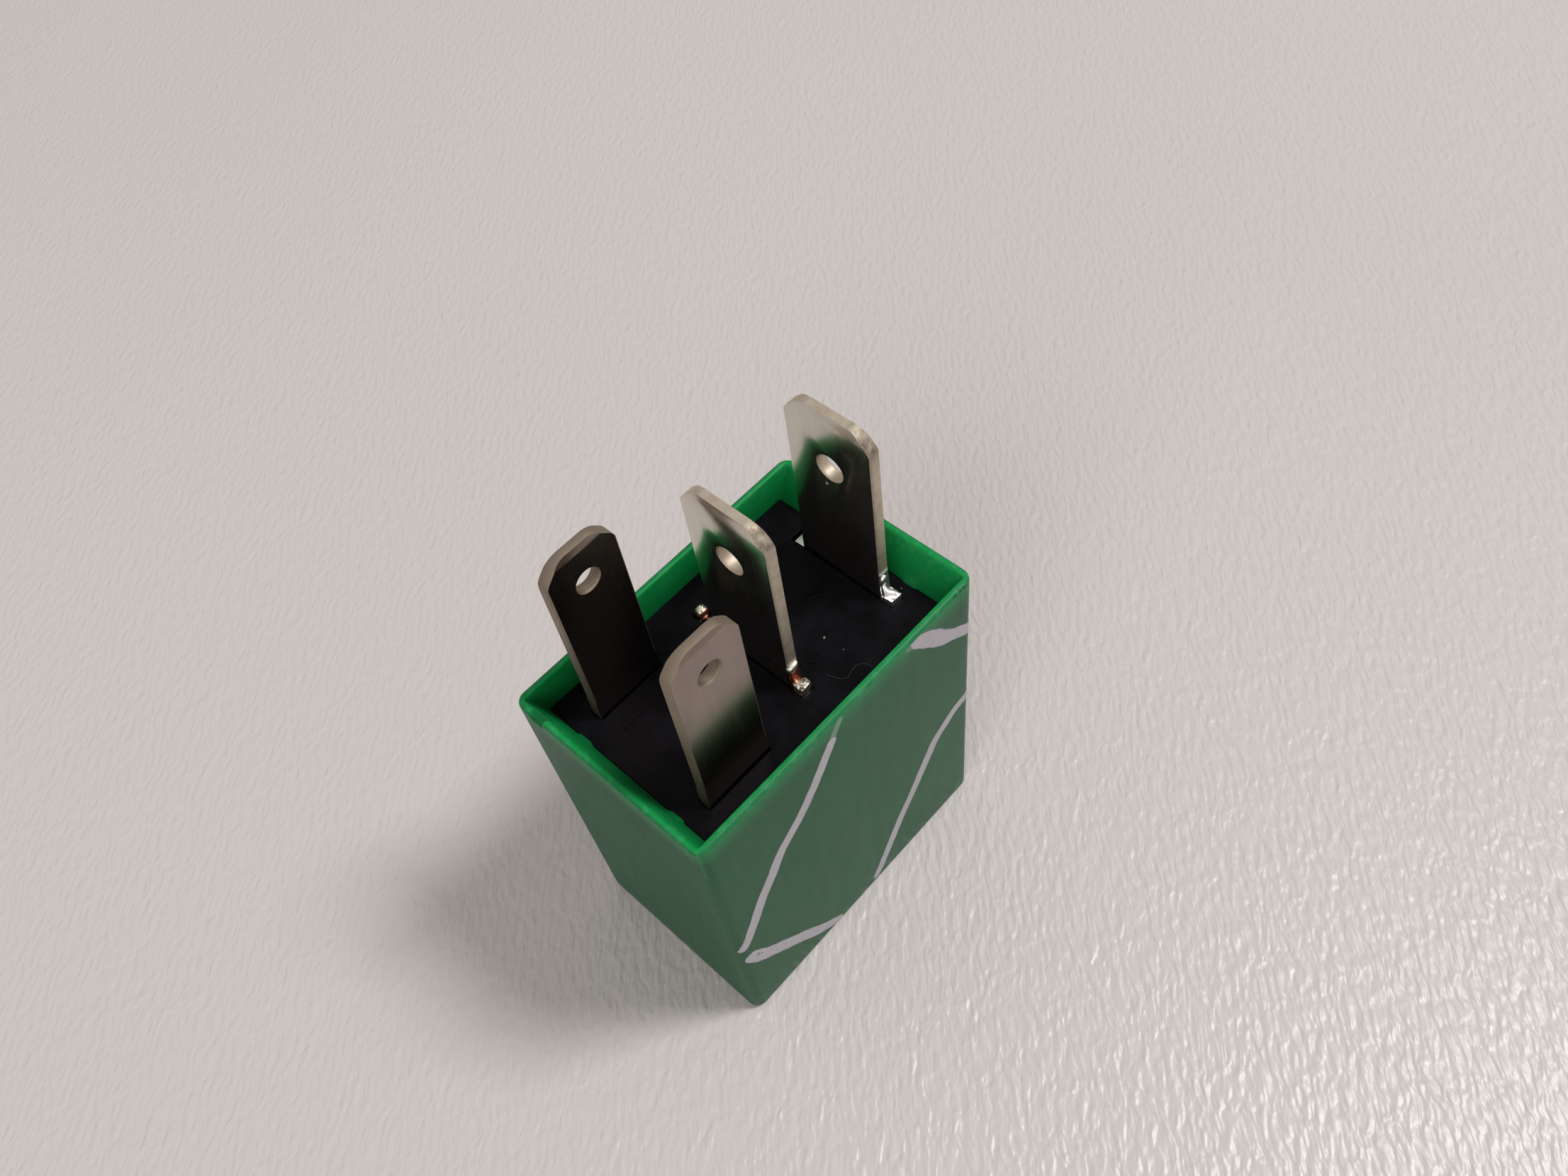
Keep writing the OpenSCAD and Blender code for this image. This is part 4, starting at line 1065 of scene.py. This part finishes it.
def rivet_tree():
    """One rivet on each point, turned as asked."""
    return node_group(
        "rivet_row",
        (("Geometry", "Geometry", None), ("Rivet", "Object", None), ("Turn", "Vector", (0.0, 0.0, 0.0))),
        {"source": ("GeometryNodeObjectInfo", {"transform_space": "ORIGINAL"}, {}),
         "place": ("GeometryNodeInstanceOnPoints",), "turn": ("FunctionNodeEulerToRotation",)},
        ("entry.Geometry > place.Points", "entry.Rivet > source.Object", "source.Geometry > place.Instance",
         "entry.Turn > turn.Euler", "turn.Rotation > place.Rotation", "place.Instances > real.Geometry"))


def turned(name, profile, steps=32):
    """Closed solid of revolution about z from (radius, z) points in millimetres, from bottom to top."""
    rings = [[Vector((r * math.cos(math.tau * k / steps), r * math.sin(math.tau * k / steps), z)) * MM
              for k in range(steps)] for r, z in profile]
    return ring_loft(name, rings)


HEAD, SHANK, DOME = 1.15, 0.7, 0.35  # radii and height of the rivets in millimetres
SPRING_T, ARMATURE_T = 0.25, 1.2


class RELAY_OT_rivets(Operator):
    """Sets the domed rivets of the spring, the armature and the common terminal"""

    bl_idname = "relay.rivets"
    bl_label = "Rivets"

    def execute(self, context):
        brass = rolled_strip("rivet_brass", style().brass, 0.28)
        steel = plated_steel(style())
        tree = rivet_tree()
        for node, body, slot, finish, turn in (
                ("spring_rivets", HOUSING, "rivet_brass", brass, (0.0, -math.pi / 2, 0.0)),
                ("armature_rivets", ARMATURE, "rivet_brass", brass, (math.pi, OPEN_ANGLE, 0.0)),
                ("terminal_rivets", HOUSING, "magnet_steel", steel, (0.0, 0.0, 0.0))):
            low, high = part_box(node)
            middle = (low + high) / 2
            aside = Vector((0, (high.y - low.y) / 2 - HEAD * MM, 0))
            if node == "spring_rivets":
                span, start = (high.x - low.x) / MM, Vector((high.x, 0, middle.z))
            elif node == "terminal_rivets":
                span, start = (high.z - low.z) / MM, Vector((middle.x, 0, low.z))
            else:
                tilt = Vector((math.sin(OPEN_ANGLE), 0, math.cos(OPEN_ANGLE)))
                span = SPRING_T + ARMATURE_T + DOME
                start = middle + tilt * (span / 2 * MM)
                start.y = 0
            neck = span - DOME
            profile = [(0.01, 0.0), (SHANK - 0.06, 0.0), (SHANK, 0.06), (SHANK, neck - 0.01),
                       (HEAD - 0.05, neck), (HEAD, neck + 0.05)]
            profile += [(max(0.01, HEAD * c), neck + 0.05 + (DOME - 0.05) * s) for c, s in quarter(8)[1:]]
            source = placed("rivet_source", turned("rivet", profile))
            points = bpy.data.meshes.new("points")
            points.from_pydata([start + aside, start - aside], [], [])
            mesh = grown(tree, {"Rivet": source, "Turn": turn, "Material": finish.material}, points)
            bpy.data.objects.remove(source)
            finish.wear(piece(node + "_domed", smoothed(mesh, 40.0), body, slot, node))
        return {"FINISHED"}


class RELAY_OT_suppressor(Operator):
    """Builds the suppression resistor and the two solder joints of the coil"""

    bl_idname = "relay.suppressor"
    bl_label = "Suppression resistor"

    def execute(self, context):
        resistor_lacquer(style()).wear(
            dressed("resistor_body", "suppression_resistor", HOUSING, "resistor_enamel", 0.12))
        bright_metal("solder", (0.66, 0.67, 0.68), 0.22, 0.03).wear(
            piece("solder_fillets", edged(merged("solder_joints"), 0.14, 3), HOUSING, "solder", "solder_joints"))
        return {"FINISHED"}


# Stage

CAMERA_PLACE = (-24.33, -34.61, 88.92)
CAMERA_TURN = (35.153, 6.099, -47.286)
TABLE = 2.4


class RELAY_OT_stage(Operator):
    """Lays the pale table, hangs the soft lamps and sets the camera"""

    bl_idname = "relay.stage"
    bl_label = "Stage"

    def execute(self, context):
        scene = context.scene
        scene.view_settings.view_transform = "Standard"
        self.table()
        self.world(scene)
        self.lamp("key", (0.58, -0.50, 1.20), 0.36, 12.0)
        self.lamp("fill", (-0.72, -0.30, 0.60), 0.6, 3.0)
        camera = placed("camera", bpy.data.cameras.new("camera"))
        camera.location = Vector(CAMERA_PLACE) * MM
        camera.rotation_euler = [math.radians(a) for a in CAMERA_TURN]
        camera.data.sensor_width = 36.0
        camera.data.lens = sizes().lens
        camera.data.clip_start = 0.001
        camera.data.clip_end = 10.0
        scene.camera = camera
        return {"FINISHED"}

    def table(self):
        half = TABLE / 2
        mesh = bpy.data.meshes.new("table")
        mesh.from_pydata([(-half, -half, 0), (half, -half, 0), (half, half, 0), (-half, half, 0)], [],
                         [(0, 1, 2, 3)])
        table = placed("table", mesh)
        table_paint(style()).wear(table)

    def lamp(self, name, place, size, power):
        light = bpy.data.lights.new(name, "AREA")
        light.shape, light.size, light.energy = "DISK", size, power
        lamp = placed(name, light)
        lamp.location = place
        lamp.rotation_euler = (Vector((0, 0, 0.02)) - Vector(place)).to_track_quat("-Z", "Y").to_euler()

    def world(self, scene):
        """Even pale surroundings; the camera and mirrors see the same pale tone."""
        world = bpy.data.worlds.new("studio")
        scene.world = world
        world.use_nodes = True
        world.node_tree.nodes.clear()
        most = ("ShaderNodeMath", {"operation": "MAXIMUM"}, {})
        wired(world.node_tree, {
            "path": ("ShaderNodeLightPath",), "seen": most, "clear": most,
            "lit": ("ShaderNodeBackground", {}, {"Color": (1.0, 0.98, 0.96, 1.0), "Strength": 0.36}),
            "shown": ("ShaderNodeBackground", {}, {"Color": (0.56, 0.53, 0.51, 1.0), "Strength": 1.0}),
            "mix": ("ShaderNodeMixShader",), "out": ("ShaderNodeOutputWorld",)},
            ("path.Is Camera Ray > seen.0", "path.Is Glossy Ray > seen.1", "seen.0 > clear.0",
             "path.Is Transmission Ray > clear.1", "clear.0 > mix.0", "lit.0 > mix.1", "shown.0 > mix.2",
             "mix.0 > out.Surface"))


# Panel and main

OPERATORS = (RELAY_OT_stage, RELAY_OT_cover, RELAY_OT_strokes, RELAY_OT_base, RELAY_OT_terminals, RELAY_OT_magnet,
             RELAY_OT_armature, RELAY_OT_rivets, RELAY_OT_suppressor)


class RELAY_PT_panel(Panel):
    """Lists the relay's settings and its pieces"""

    bl_label = "Relay"
    bl_idname = "RELAY_PT_panel"
    bl_space_type = "VIEW_3D"
    bl_region_type = "UI"
    bl_category = "Relay"

    def draw(self, context):
        for group in (context.scene.relay_style, context.scene.relay_sizes):
            box = self.layout.box()
            for name in group.bl_rna.properties.keys():
                if name not in ("rna_type", "name"):
                    box.prop(group, name)
        for operator in OPERATORS:
            self.layout.operator(operator.bl_idname)


CLASSES = (RelayStyle, RelaySizes, *OPERATORS, RELAY_PT_panel)


def register():
    for cls in CLASSES:
        bpy.utils.register_class(cls)
    bpy.types.Scene.relay_style = bpy.props.PointerProperty(type=RelayStyle)
    bpy.types.Scene.relay_sizes = bpy.props.PointerProperty(type=RelaySizes)


def unregister():
    del bpy.types.Scene.relay_style
    del bpy.types.Scene.relay_sizes
    for cls in reversed(CLASSES):
        bpy.utils.unregister_class(cls)


def main():
    register()
    for operator in OPERATORS:
        group, name = operator.bl_idname.split(".")
        if getattr(getattr(bpy.ops, group), name)() != {"FINISHED"}:
            raise RuntimeError(operator.bl_label + " did not finish")


if __name__ == "__main__":
    main()
